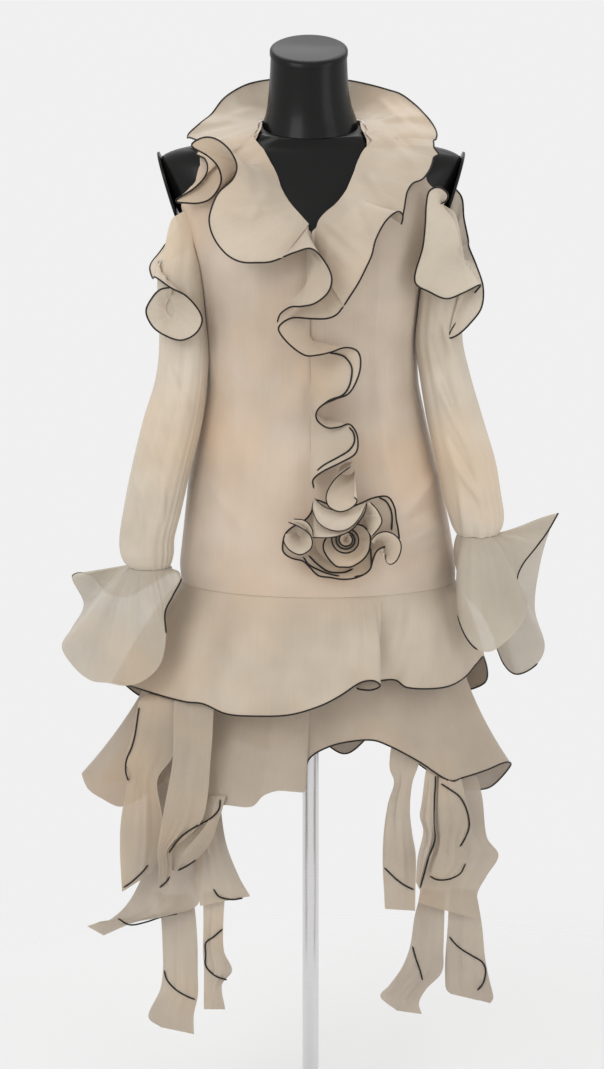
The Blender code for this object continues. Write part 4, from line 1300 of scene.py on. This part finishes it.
def organza(name, shade, light, alpha):
    """Sheer plain-woven silk: slubs and a fine weave on the cloth's own map, soft clouding over it."""
    made, t, shader = shader_of(name, 0.55, sheen=0.25, alpha=alpha, ior=1.4)
    link = t.links.new
    place = t.nodes.new("ShaderNodeTexCoord")
    cloud = node(t, "ShaderNodeTexNoise", Scale=11.0, Detail=3.0, Roughness=0.5)
    link(place.outputs["Object"], cloud.inputs["Vector"])
    stretch = t.nodes.new("ShaderNodeMapping")
    stretch.inputs["Scale"].default_value = (420.0, 9.0, 1.0)
    link(place.outputs["UV"], stretch.inputs["Vector"])
    slub = node(t, "ShaderNodeTexNoise", Scale=1.0, Detail=2.0, Roughness=0.6)
    link(stretch.outputs["Vector"], slub.inputs["Vector"])
    both = t.nodes.new("ShaderNodeMath")
    both.operation = "MULTIPLY_ADD"
    both.inputs[1].default_value = 0.3
    link(slub.outputs["Fac"], both.inputs[0])
    spread = ranged(t, cloud.outputs["Fac"], From_Min=0.3, From_Max=0.7, To_Max=0.75)
    link(spread, both.inputs[2])
    warm = node(t, "ShaderNodeTexNoise", Scale=6.0, Detail=2.0, Roughness=0.5)
    link(place.outputs["Object"], warm.inputs["Vector"])
    share = ranged(t, warm.outputs["Fac"], From_Min=0.5, From_Max=0.72, To_Max=0.7)
    tint = t.nodes.new("ShaderNodeMix")
    tint.data_type = "RGBA"
    tint.inputs[7].default_value = (light[0] * 1.03, light[1] * 0.92, light[2] * 0.8, 1)
    link(blended(t, shade, light, both.outputs[0]), tint.inputs[6])
    link(share, tint.inputs[0])
    link(tint.outputs[2], shader.inputs["Base Color"])
    weave = []
    for way in ("X", "Y"):
        band = node(t, "ShaderNodeTexWave", Scale=190.0, Distortion=0.4, Detail=1.0)
        band.wave_type = "BANDS"
        band.bands_direction = way
        link(place.outputs["UV"], band.inputs["Vector"])
        weave.append(band)
    cross = t.nodes.new("ShaderNodeMath")
    cross.operation = "MAXIMUM"
    link(weave[0].outputs["Fac"], cross.inputs[0])
    link(weave[1].outputs["Fac"], cross.inputs[1])
    rise = t.nodes.new("ShaderNodeMath")
    rise.operation = "MULTIPLY_ADD"
    rise.inputs[1].default_value = 1.6
    link(slub.outputs["Fac"], rise.inputs[0])
    link(cross.outputs[0], rise.inputs[2])
    bumped(t, shader, rise.outputs[0], 0.25, 0.0004)
    return made


def satin_piping():
    """Dark satin bias tape, with a fine speckle in its colour and relief."""
    made, t, shader = shader_of("dark satin piping", 0.5, sheen=0.05, ior=1.35)
    link = t.links.new
    place = t.nodes.new("ShaderNodeTexCoord")
    speck = node(t, "ShaderNodeTexNoise", Scale=900.0, Detail=2.0)
    link(place.outputs["Object"], speck.inputs["Vector"])
    colour = blended(t, (0.006, 0.004, 0.0035), (0.018, 0.013, 0.011), speck.outputs["Fac"])
    link(colour, shader.inputs["Base Color"])
    bumped(t, shader, speck.outputs["Fac"], 0.3, 0.0002)
    return made


def gloss_shell():
    """Moulded black plastic with a slightly uneven gloss and rubbed patches."""
    made, t, shader = shader_of("gloss black shell", 0.3, coat=0.1, ior=1.25)
    link = t.links.new
    place = t.nodes.new("ShaderNodeTexCoord")
    cloud = node(t, "ShaderNodeTexNoise", Scale=14.0, Detail=4.0, Roughness=0.6)
    link(place.outputs["Object"], cloud.inputs["Vector"])
    colour = blended(t, (0.003, 0.003, 0.003), (0.007, 0.0065, 0.006), cloud.outputs["Fac"])
    link(colour, shader.inputs["Base Color"])
    gloss = ranged(t, cloud.outputs["Fac"], To_Min=0.24, To_Max=0.42)
    link(gloss, shader.inputs["Roughness"])
    grain = node(t, "ShaderNodeTexNoise", Scale=700.0, Detail=2.0)
    link(place.outputs["Object"], grain.inputs["Vector"])
    bumped(t, shader, grain.outputs["Fac"], 0.05, 0.0003)
    return made


def brushed_steel():
    """Pale steel, brushed round the pole and the base."""
    made, t, shader = shader_of("brushed pale steel", 0.3, metallic=1.0)
    link = t.links.new
    place = t.nodes.new("ShaderNodeTexCoord")
    lines = t.nodes.new("ShaderNodeMapping")
    lines.inputs["Scale"].default_value = (6.0, 6.0, 900.0)
    link(place.outputs["Object"], lines.inputs["Vector"])
    brush = node(t, "ShaderNodeTexNoise", Scale=1.0, Detail=3.0)
    link(lines.outputs["Vector"], brush.inputs["Vector"])
    colour = blended(t, (0.62, 0.62, 0.63), (0.84, 0.84, 0.85), brush.outputs["Fac"])
    link(colour, shader.inputs["Base Color"])
    gloss = ranged(t, brush.outputs["Fac"], To_Min=0.22, To_Max=0.4)
    link(gloss, shader.inputs["Roughness"])
    bumped(t, shader, brush.outputs["Fac"], 0.06, 0.0002)
    return made


body_silk = organza("ivory organza over lining", (0.455, 0.37, 0.285), (0.62, 0.52, 0.425), 1.0)
ruffle_silk = organza("ivory organza ruffle", (0.47, 0.385, 0.295), (0.64, 0.545, 0.435), 0.88)
# The sleeves and shoulder ruffles: the same organza with its colours painted lighter, as painted backlight
# glowing through the empty sleeves.
sleeve_silk_painted_backlight = organza("ivory organza sleeve with painted backlight", (0.58, 0.495, 0.385), (0.77, 0.685, 0.57), 0.76)
streamer_silk = organza("ivory organza streamer", (0.41, 0.34, 0.265), (0.57, 0.485, 0.385), 0.76)
flounce_silk = organza("ivory organza flounce", (0.40, 0.325, 0.25), (0.52, 0.435, 0.345), 0.84)
sheer_silk = organza("ivory organza single layer", (0.45, 0.39, 0.31), (0.60, 0.535, 0.44), 0.66)
piping = satin_piping()
shell = gloss_shell()
steel = brushed_steel()


# The display form, modelled in edit mode from circles

def pick(test):
    """In edit mode, selects the points that pass the test, and the faces between them."""
    work = bmesh.from_edit_mesh(bpy.context.object.data)
    for face in work.faces:
        face.select = False
    for edge in work.edges:
        edge.select = False
    for vert in work.verts:
        vert.select = bool(test(vert.co))
    work.select_flush(True)
    bmesh.update_edit_mesh(bpy.context.object.data)


def at_height(z):
    return lambda p: abs(p.z - z) < 1e-6


def stretch_ring(z, centre, ratio_x, ratio_front, ratio_back):
    middle = (centre, 0, z)
    pick(at_height(z))
    bpy.ops.transform.resize(value=(ratio_x, 1, 1), center_override=middle)
    pick(lambda p: abs(p.z - z) < 1e-6 and p.y < -1e-6)
    bpy.ops.transform.resize(value=(1, ratio_front, 1), center_override=middle)
    pick(lambda p: abs(p.z - z) < 1e-6 and p.y > 1e-6)
    bpy.ops.transform.resize(value=(1, ratio_back, 1), center_override=middle)
    pick(at_height(z))


def new_primitive(name, add, **values):
    bpy.ops.object.select_all(action="DESELECT")
    add(**values)
    thing = bpy.context.object
    thing.name = name
    thing.data.name = name
    return thing


def kept(thing, look, angle=35.0):
    """Puts the piece's place into its mesh, and gives it its finish and its body."""
    bpy.ops.object.mode_set(mode="OBJECT")
    bpy.ops.object.select_all(action="DESELECT")
    thing.select_set(True)
    bpy.context.view_layer.objects.active = thing
    bpy.ops.object.transform_apply(location=True, rotation=True, scale=True)
    bpy.ops.object.shade_smooth_by_angle(angle=math.radians(angle))
    thing.data.materials.clear()
    thing.data.materials.append(look)
    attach(thing, "root")
    return thing


def cut_flat(point, normal, edge):
    """In edit mode, cuts away what lies beyond a plane, closes the cut and rounds its rim."""
    bpy.ops.mesh.select_all(action="SELECT")
    bpy.ops.mesh.bisect(
        plane_co=point * MM,
        plane_no=normal,
        use_fill=True,
        clear_outer=True,
    )
    bpy.ops.mesh.bevel(offset=edge * MM, segments=3, affect="EDGES")


def torso_shell():
    height, width, front, back, centre = FORM[0]
    thing = new_primitive(
        "display_form_torso",
        bpy.ops.mesh.primitive_circle_add,
        vertices=48,
        radius=width * MM,
        fill_type="NGON",
        location=(centre * MM, 0, height * MM),
    )
    bpy.ops.object.transform_apply(location=True)
    bpy.ops.object.mode_set(mode="EDIT")
    stretch_ring(height * MM, centre * MM, 1, front / width, back / width)
    for low, high in zip(FORM, FORM[1:]):
        step = ((high[4] - low[4]) * MM, 0, (high[0] - low[0]) * MM)
        bpy.ops.mesh.extrude_region_move(TRANSFORM_OT_translate={"value": step})
        stretch_ring(high[0] * MM, high[4] * MM, high[1] / low[1], high[2] / low[2], high[3] / low[3])
    bpy.ops.object.mode_set(mode="OBJECT")
    soft = thing.modifiers.new("soft", "SUBSURF")
    soft.levels = 2
    soft.render_levels = 2
    apply_all(thing)
    bpy.ops.object.mode_set(mode="EDIT")
    for side in (-1, 1):
        middle, normal, _ = arm_hole(side)
        cut_flat(middle, normal, 2.0)
    tilt = math.radians(NECK_TILT)
    cut_flat(NECK_MIDDLE, Vector((0, -math.sin(tilt), math.cos(tilt))), 2.5)
    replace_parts(kept(thing, shell), "form_torso")


def neck_shell():
    """The neck as a stack of tilted rings, and its flat lid."""
    low, rim, top = NECK_CAP
    _, x, y, radius, tilt = NECK[-1]
    lid = [
        (low + SEAM, x, y, radius + 1.2, tilt),
        (rim - 1, x, y, radius + 1.2, tilt),
        (rim + 0.6, x, y, radius + 0.3, tilt),
        (top - 0.5, x, y, radius - 2.4, tilt),
        (top, x, y, radius - 5, tilt),
    ]
    pieces = (("display_form_neck", NECK, "form_neck"), ("display_form_lid", lid, "form_neck_cap"))
    for name, stack, stands_for in pieces:
        h, x, y, radius, tilt = stack[0]
        place = Vector((x, y, NECK_MIDDLE.z + SEAM + h)) * MM
        thing = new_primitive(
            name,
            bpy.ops.mesh.primitive_circle_add,
            vertices=96,
            radius=radius * MM,
            fill_type="NGON",
            location=place,
            rotation=(math.radians(tilt), 0, 0),
        )
        bpy.ops.object.transform_apply(location=True, rotation=True)
        bpy.ops.object.mode_set(mode="EDIT")
        bpy.ops.mesh.select_all(action="SELECT")
        for (_, _, _, r0, t0), (h, x, y, r1, t1) in zip(stack, stack[1:]):
            there = Vector((x, y, NECK_MIDDLE.z + SEAM + h)) * MM
            bpy.ops.mesh.extrude_region_move(TRANSFORM_OT_translate={"value": there - place})
            bpy.ops.transform.resize(value=(r1 / r0,) * 3, center_override=there)
            bpy.ops.transform.rotate(value=-math.radians(t1 - t0), orient_axis="X", center_override=there)
            place = there
        bpy.ops.mesh.select_all(action="SELECT")
        bpy.ops.mesh.normals_make_consistent(inside=False)
        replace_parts(kept(thing, shell, 50.0), stands_for)


def shoulder_plates():
    """The flat plates that close the form's arm holes."""
    for side, word in ((-1, "right"), (1, "left")):
        middle, normal, tall = arm_hole(side)
        thing = new_primitive(
            f"display_form_arm_plate_{word}",
            bpy.ops.mesh.primitive_circle_add,
            vertices=96,
            radius=1.0,
            fill_type="NGON",
        )
        bpy.ops.object.mode_set(mode="EDIT")
        bpy.ops.mesh.select_all(action="SELECT")
        bpy.ops.transform.resize(value=((tall / 2 - 5) * MM, 41 * MM, 1), center_override=(0, 0, 0))
        for rise, ratio in ((2.4, 1.0), (0.7, 0.985), (0.5, 0.955)):
            bpy.ops.mesh.extrude_region_move(TRANSFORM_OT_translate={"value": (0, 0, rise * MM)})
            bpy.ops.transform.resize(value=(ratio, ratio, 1), center_override=(0, 0, 0))
        bpy.ops.mesh.select_all(action="SELECT")
        bpy.ops.mesh.normals_make_consistent(inside=False)
        bpy.ops.object.mode_set(mode="OBJECT")
        thing.rotation_euler = (0, math.atan2(normal.x, normal.z), 0)
        thing.location = (middle + normal * SEAM + Vector((0, 1, 0))) * MM
        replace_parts(kept(thing, shell), f"form_arm_cap_{word}")


def round_piece(name, radius_low, radius_high, low, high, edge, stands_for):
    """An upright turned piece of the stand with its top rim rounded."""
    thing = new_primitive(
        name,
        bpy.ops.mesh.primitive_cone_add,
        vertices=96,
        radius1=radius_low * MM,
        radius2=radius_high * MM,
        depth=(high - low) * MM,
        location=(0, 0, (low + high) / 2 * MM),
    )
    bpy.ops.object.transform_apply(location=True)
    if edge:
        bpy.ops.object.mode_set(mode="EDIT")
        pick(at_height(high * MM))
        bpy.ops.mesh.bevel(offset=edge * MM, segments=4, affect="EDGES")
    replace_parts(kept(thing, steel), stands_for)


def stand():
    top = BASE_THICK + SEAM + SOCKET_HEIGHT
    flange = FORM_BOTTOM - SEAM - FLANGE_THICK
    round_piece("stand_round_base", BASE_RADIUS, BASE_RADIUS, 0, BASE_THICK, 3.0, "stand_base")
    round_piece("stand_collar_socket", 24, 16, BASE_THICK + SEAM, top, 2.0, "stand_socket")
    round_piece("stand_upright", POLE_RADIUS, POLE_RADIUS, top + SEAM, flange - SEAM, 0, "stand_pole")
    form_low = FORM_BOTTOM - SEAM
    round_piece("stand_top_flange", FLANGE_RADIUS, FLANGE_RADIUS, flange, form_low, 1.5, "stand_flange")


torso_shell()
neck_shell()
shoulder_plates()
stand()


# The dress

# Soft folds of each cloth, a row for each set as folded() reads it
BODICE_FOLDS = [(3, 0.0, 1.5, 0.0, 1.4), (8, 0.0, 0.4, 0.0, 2.1)]
BACK_FOLDS = [(6, 0.0, 1.5, 0.0, 1.4), (15, 0.0, 0.4, 0.0, 2.1)]
SLEEVE_FOLDS = [(4, 0.0, 1.8, 0.0, 2.6), (9, 0.3, 0.6, 0.5, 1.2), (21, 0.0, 0.0, 0.9, 0.3)]
CUFF_FOLDS = [(5, 0.6, 3.4, 0.0, 1.6), (11, 0.9, 1.4, 0.0, 0.8), (19, 0.8, 0.0, 0.0, 0.4)]
OUTER_FOLDS = [(7, 0.6, 0.6, 0.0, 0.8)]
INNER_FOLDS = [(5, 0.4, 0.4, 0.0, 0.8)]
UPPER_FOLDS = [(15, 0.9, 2.0, 0.0, 0.9), (37, 0.8, 0.2, 0.0, 0.3)]
LOWER_FOLDS = [(13, 0.3, 2.0, 0.0, 1.2)]
STREAMER_FOLDS = [(1.5, 0.0, 2.2, 0.6, 2.2), (4, 0.0, 0.7, 0.3, 3.0)]
# Seen places that the piped stretch of the lower hem runs past
LOWER_PIPED = [(-8, 500), (42, 555), (268, 524), (46, 540), (-206, 520)]

BODY_FINE = fine(BODY)
trees = {}


def sew(node_name, g, look, closed=False, edge_lines=(), traced=(), over=()):
    """Makes one cloth of the dress with its piped edges.

    Traced lines of piping are seen points that lie on this cloth, or on the nearest of it and others.
    """
    piece = cloth(f"{node_name}_organza", g, look, closed)
    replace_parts(piece, node_name)
    trees[node_name] = fine_tree(g, closed)
    lines = list(edge_lines)
    for points in traced:
        line = on_cloth(points, [trees[node_name], *over])
        if len(line) > 3:
            lines.append((line, False))
    with_pieces = [tube(f"{node_name}_piping", lines, piping)] if lines else []
    return piece


def as_seen(p):
    """Where a point shows, as (x, height) on the pole's plane."""
    share = (p[1] - EYE[1]) / -EYE[1]
    return np.array([EYE[0] + (p[0] - EYE[0]) / share, EYE[2] + (p[2] - EYE[2]) / share])


def edge_part(g, *places):
    """The stretch of a cloth's free edge that runs past the seen places, in their order round the cloth."""
    n = len(g)
    spots = np.array([as_seen(p) for p in g[:, -1]])
    at = [int(np.argmin(np.linalg.norm(spots - np.array(place), axis=1))) for place in places]
    forward = sum((b - a) % n for a, b in zip(at, at[1:]))
    if forward < n:
        picked = [(at[0] + k) % n for k in range(forward + 1)]
    else:
        back = sum((a - b) % n for a, b in zip(at, at[1:]))
        picked = [(at[0] - k) % n for k in range(back + 1)]
    return ([g[i, -1] for i in picked], False)


def free_edge(g, closed=False):
    """The piped line of a cloth's last column."""
    return [(g[:, -1], closed)]


def bodice():
    heights = [r[0] for r in BODY_FINE if r[0] <= BODICE_LAST_ROW] + [BODICE_TOP]
    for side, word in ((-1, "right"), (1, "left")):
        grid = []
        for z in heights:
            width, front = section(BODY, z)[:2]
            neck, arm = panel_edges(z)
            neck = max(neck, math.degrees(0.02 / width))
            arm -= math.degrees(SEAM / front)
            grid.append([on_body(BODY_FINE, z, side * (neck + (arm - neck) * k / 40)) for k in range(41)])
        g = creased(folded(list(zip(*grid)), BODICE_FOLDS), BODICE_CREASES[word])
        sew(f"bodice_front_{word}", g, body_silk)
    grid = []
    for z in heights:
        back = section(BODY, z)[2]
        arm = panel_edges(z)[1] - math.degrees(SEAM / back)
        grid.append([on_body(BODY_FINE, z, 180 + arm * (k / 40 - 1)) for k in range(81)])
    g = folded(list(zip(*grid)), BACK_FOLDS)
    sew("bodice_back", g, body_silk)


def sleeve_head(top, turn, side):
    """The part of a sleeve head that rises in front of the arm plate and meets the bodice."""
    facing = math.cos(2 * math.pi * turn + math.radians(10) * side)
    share = min(1.0, max(0.0, (facing - 0.25) / 0.6))
    rise = (3 - 2 * share) * share**2
    line = []
    for j in range(12):
        s = 1 - j / 12
        lift = HEAD_RISE[side] * rise * s + 1.2 * s
        line.append(top + Vector((side * -2 * rise * s, -(9 * s - 3 * s * s) * rise, lift)))
    return line


def sleeves():
    for side, word, rows in ((-1, "right", SLEEVE_RIGHT), (1, "left", SLEEVE_LEFT)):
        readings = smooth([(r[3], r[4], r[5], r[1], r[0], r[2]) for r in rows], 90)
        grid = []
        for k in range(160):
            line = []
            for half_width, half_depth, rise, x, height, depth in readings:
                row = (height, x, depth, half_width, half_depth, rise)
                line.append(clear(sleeve_point(row, 360 * k / 160, side), BODY, LAID_ON + 0.2))
            grid.append(sleeve_head(line[0], k / 160, side) + line)
        g = folded(grid, SLEEVE_FOLDS, closed=True)
        g = creased(g, SLEEVE_CREASES[word], closed=True)
        sew(
            f"sleeve_{word}", g, sleeve_silk_painted_backlight,
            closed=True,
        )


def cuffs():
    tables = ((-1, "right", CUFF_RIGHT, SLEEVE_RIGHT), (1, "left", CUFF_LEFT, SLEEVE_LEFT))
    for side, word, rows, sleeve in tables:
        wrist = sleeve[-1]
        grid = []
        turned_rows = [(math.cos(math.radians(r[0])), math.sin(math.radians(r[0])), *r[1:]) for r in rows]
        for c, s, *free in smooth(turned_rows, 360, closed=True):
            sewn = sleeve_point(wrist, math.degrees(math.atan2(s, c)), side) - Vector((0, 0, CLOTH + SEAM))
            edge = seen(*free)
            out = Vector((sewn.x - seen(wrist[1], 0, wrist[2]).x, sewn.y - wrist[2], 0)).normalized()
            line = []
            for j in range(25):
                t = j / 24
                line.append(sewn.lerp(edge, t) + out * 8 * 4 * t * (1 - t) * (1 - t))
            grid.append(line)
        g = folded(grid, CUFF_FOLDS, closed=True)
        sew(
            f"cuff_ruffle_{word}", g, sheer_silk, closed=True,
            edge_lines=[edge_part(g, *part) for part in CUFF_PIPED[word]],
        )


def shoulder_ruffles():
    for word, rows in (("right", SHOULDER_RIGHT), ("left", SHOULDER_LEFT)):
        sleeve = SLEEVE_RIGHT if word == "right" else SLEEVE_LEFT
        middles = [seen(r[1], r[0], r[2]) for r in sleeve]
        rings = sorted((m.z, r[3], r[4], m.x, m.y) for m, r in zip(middles, sleeve))
        grid = strip(rows, 200, 16, 3)
        for line in grid:
            line[0] = off_tube(line[0], rings, LAID_ON - 0.3, snap=line[0].z < 1226)
            line[1:] = [off_tube(p, rings, LAID_ON + 1.5) for p in line[1:]]
        g = folded(grid, [(13, 0.8, 0.5, 0.0, 0.6)])
        sew(
            f"shoulder_ruffle_{word}", g, sleeve_silk_painted_backlight,
            edge_lines=free_edge(g),
        )


def collar_and_cascade():
    soft = [(6, 0.6, 1.7, 0.0, 1.7), (14, 0.5, 0.5, 0.0, 0.8)]
    left = creased(folded(seated(strip(COLLAR_LEFT, 360, 24, 4, 6)), soft), COLLAR_CREASES["left"])
    sew("collar_ruffle_left", left, ruffle_silk,
        edge_lines=free_edge(left))
    right = creased(folded(seated(strip(COLLAR_RIGHT, 400, 24, 4, 6)), soft), COLLAR_CREASES["right"])
    sew("collar_ruffle_right", right, ruffle_silk,
        edge_lines=free_edge(right))
    few = [(8, 0.5, 0.7, 0.0, 0.8)]
    lower = folded(seated(strip(CASCADE_LOWER, 400, 16, 3)), few)
    sew("cascade_ruffle_lower", lower, ruffle_silk,
        edge_lines=free_edge(lower), traced=CASCADE_SECOND)
    over = (trees["collar_ruffle_left"], trees["cascade_ruffle_lower"])
    upper = folded(seated(strip(CASCADE_UPPER, 140, 16, 3, 0, over, 3)), [(5, 0.7, 0.5, 0.0, 0.8)])
    sew("cascade_ruffle_upper", upper, ruffle_silk,
        edge_lines=free_edge(upper))


def rosette_rings(rows, radius, depth, along, across, lift, middle=ROSETTE_MIDDLE):
    """Rings of a rosette ruffle from a small sewn ring to the free edge."""
    x0, z0 = middle
    grid = []
    points = []
    for angle, reach, free_depth in rows:
        a = math.radians(angle)
        points.append((x0 + reach * math.cos(a), z0 + reach * math.sin(a), free_depth))
    for free in smooth(points, along, closed=True):
        turn = math.atan2(free[1] - z0, free[0] - x0)
        sewn = seen(x0 + radius * math.cos(turn), z0 + radius * math.sin(turn), depth)
        edge = seen(*free)
        line = []
        for j in range(across + 1):
            t = j / across
            line.append(clear(sewn.lerp(edge, t) + Vector((0, lift * 4 * t * (1 - t), 0)), BODY, LAID_ON))
        grid.append(line)
    return grid


def rosette():
    rings = rosette_rings(ROSETTE_OUTER, 31, -128, 300, 14, 3)
    outer = folded(seated(rings, True), OUTER_FOLDS, True)
    sew("rosette_ruffle_outer", outer, ruffle_silk,
        closed=True, edge_lines=free_edge(outer, True), traced=ROSETTE_SECOND)
    rings = rosette_rings(ROSETTE_INNER, 13, -141, 200, 12, 2, COIL_MIDDLE)
    inner = folded(rings, INNER_FOLDS, True)
    sew("rosette_ruffle_inner", inner, ruffle_silk,
        closed=True, edge_lines=free_edge(inner, True))
    x0, z0 = COIL_MIDDLE
    grid = []
    for i in range(301):
        t = i / 300
        free = COIL_RADIUS[0] + (COIL_RADIUS[1] - COIL_RADIUS[0]) * t**1.5
        turn = math.radians(60 - 360 * COIL_TURNS * t)
        line = []
        for j in range(13):
            s = j / 12
            reach = free - (7.2 + 4 * t) * (1 - s)
            depth = -151 - 11 * s**0.7 + 6 * t
            line.append(seen(x0 + reach * math.cos(turn), z0 + reach * math.sin(turn), depth))
        grid.append(line)
    g = as_array(grid)
    sew("rosette_coil", g, ruffle_silk,
        edge_lines=free_edge(g))
    for key, rows in PETALS.items():
        petal(key, rows)


def petal(key, rows):
    """A small turned petal of the rosette, cupped towards the viewer, piped on its free edge."""
    readings = smooth(rows, 90)
    grid = []
    for r in readings:
        sewn = seen(*r[:3])
        free = seen(*r[3:])
        line = []
        for j in range(11):
            t = j / 10
            line.append(sewn.lerp(free, t) + Vector((0, -5 * 4 * t * (1 - t), 0)))
        grid.append(line)
    g = folded(grid, [(3, 0.3, 0.5, 0.0, 0.8)])
    piece = cloth(f"rosette_petal_{key}_organza", g, ruffle_silk)
    lines = free_edge(g) + [(g[:, 0], False)] * (key in ROLLED)
    edge = tube(f"rosette_petal_{key}_piping", lines, piping, radius=PETAL_PIPING)


def flounce(rows, along, across, tuck, crown, waist=0.0):
    """Lines down a skirt flounce from the waist seam to its hem, drawn in at the sides by a share."""
    turned_rows = [(math.cos(math.radians(r[0])), math.sin(math.radians(r[0])), *r[1:]) for r in rows]
    grid = []
    for c, s, *free in smooth(turned_rows, along, closed=True):
        top = on_body(BODY, WAIST_SEAM, math.degrees(math.atan2(s, c)), -tuck)
        top.z = WAIST_SEAM - SEAM
        hem = seen(*free)
        away = Vector((s, -c, 0)).normalized()
        line = []
        for j in range(across + 1):
            t = j / across
            line.append(top.lerp(hem, t) + away * crown * (1 + waist * abs(s) ** 3) * 4 * t * (1 - t))
        grid.append(line)
    return grid


def skirt():
    upper = folded(flounce(UPPER_FLOUNCE, 520, 30, 0, 5), UPPER_FOLDS, True)
    sew("skirt_upper_flounce", upper, ruffle_silk,
        closed=True, edge_lines=free_edge(upper, True))
    lower = folded(flounce(LOWER_FLOUNCE, 560, 36, LAID_ON, -9, 1.6), LOWER_FOLDS, True)
    sew("skirt_lower_flounce", lower, flounce_silk,
        closed=True, edge_lines=[edge_part(lower, *LOWER_PIPED)])


def streamers(word, tables, carried):
    names = {"lower": "skirt_lower_flounce"}
    for key, rows in tables.items():
        holder, side = carried[key]
        carrier = trees[names[holder]]
        grid = strip(rows, 110, 14, 2)
        toward = Vector((0, -side, 0))
        top = [laid(p, carrier, toward) for p in grid[0]]
        for i in range(12):
            ease = (1 - i / 12) ** 2
            grid[i] = [p + (q - r) * ease for p, q, r in zip(grid[i], top, grid[0])] if i else grid[0]
        grid[0] = top
        if side > 0:
            grid[1:] = [[in_front(p, [carrier], LAID_ON + 3) for p in line] for line in grid[1:]]
        else:
            grid[1:] = [[behind(p, carrier, LAID_ON + 3) for p in line] for line in grid[1:]]
        g = folded(list(zip(*grid)), STREAMER_FOLDS)
        name = f"streamer_{word}_{key}"
        names[key] = name
        over = [trees[names[k]] for k in names if k in tables and names[k] in trees]
        sew(name, g, streamer_silk,
            traced=STREAMER_PIPING[word].get(key, ()), over=over)


bodice()
skirt()
sleeves()
cuffs()
shoulder_ruffles()
collar_and_cascade()
rosette()
streamers("right", STREAMERS_RIGHT, CARRIED_RIGHT)
streamers("left", STREAMERS_LEFT, CARRIED_LEFT)


# Room, light and camera

def floor_finish():
    """Matt pale floor that fades out well away from the stand."""
    made, t, shader = shader_of("pale matt floor", 0.9)
    shader.inputs["Base Color"].default_value = (0.80, 0.80, 0.80, 1)
    link = t.links.new
    place = t.nodes.new("ShaderNodeTexCoord")
    distance = t.nodes.new("ShaderNodeVectorMath")
    distance.operation = "LENGTH"
    link(place.outputs["Object"], distance.inputs[0])
    fade = t.nodes.new("ShaderNodeMapRange")
    fade.interpolation_type = "SMOOTHSTEP"
    fade.inputs["From Min"].default_value = 0.25
    fade.inputs["From Max"].default_value = 1.3
    fade.inputs["To Min"].default_value = 1.0
    fade.inputs["To Max"].default_value = 0.0
    link(distance.outputs["Value"], fade.inputs["Value"])
    link(fade.outputs["Result"], shader.inputs["Alpha"])
    return made


bpy.ops.object.select_all(action="DESELECT")
bpy.ops.mesh.primitive_circle_add(vertices=96, radius=1.4, fill_type="NGON", location=(0, 0, -0.0005))
floor = bpy.context.object
floor.name = "floor"
floor.data.materials.append(floor_finish())

world = bpy.data.worlds.new("studio")
world.use_nodes = True
world.node_tree.nodes["Background"].inputs["Color"].default_value = (0.871, 0.871, 0.871, 1)
world.node_tree.nodes["Background"].inputs["Strength"].default_value = 1.0
bpy.context.scene.world = world


def lamp(name, place, aim, size, power, colour=(1, 1, 1)):
    light = bpy.data.lights.new(name, "AREA")
    light.shape = "RECTANGLE"
    light.size = size[0]
    light.size_y = size[1]
    light.energy = power
    light.color = colour
    holder = bpy.data.objects.new(name, light)
    bpy.context.scene.collection.objects.link(holder)
    holder.location = place
    holder.rotation_euler = (Vector(aim) - Vector(place)).to_track_quat("-Z", "Y").to_euler()


lamp("key softbox", (-1.6, -2.4, 2.7), (0, 0, 1.0), (1.6, 1.6), 26)
lamp("fill softbox", (2.2, -1.8, 1.5), (0, 0, 1.0), (1.2, 2.0), 10)
lamp("top softbox", (0.2, 0.9, 3.0), (0, 0, 1.1), (2.0, 1.2), 16)

camera = bpy.data.cameras.new("view")
camera.lens = LENS
camera.sensor_width = 36
view = bpy.data.objects.new("view", camera)
bpy.context.scene.collection.objects.link(view)
view.location = Vector(EYE) * MM
view.rotation_euler = (math.radians(90 - PITCH), 0, 0)
bpy.context.scene.camera = view
bpy.context.scene.view_settings.view_transform = "Standard"
bpy.context.scene.cycles.transparent_max_bounces = 32
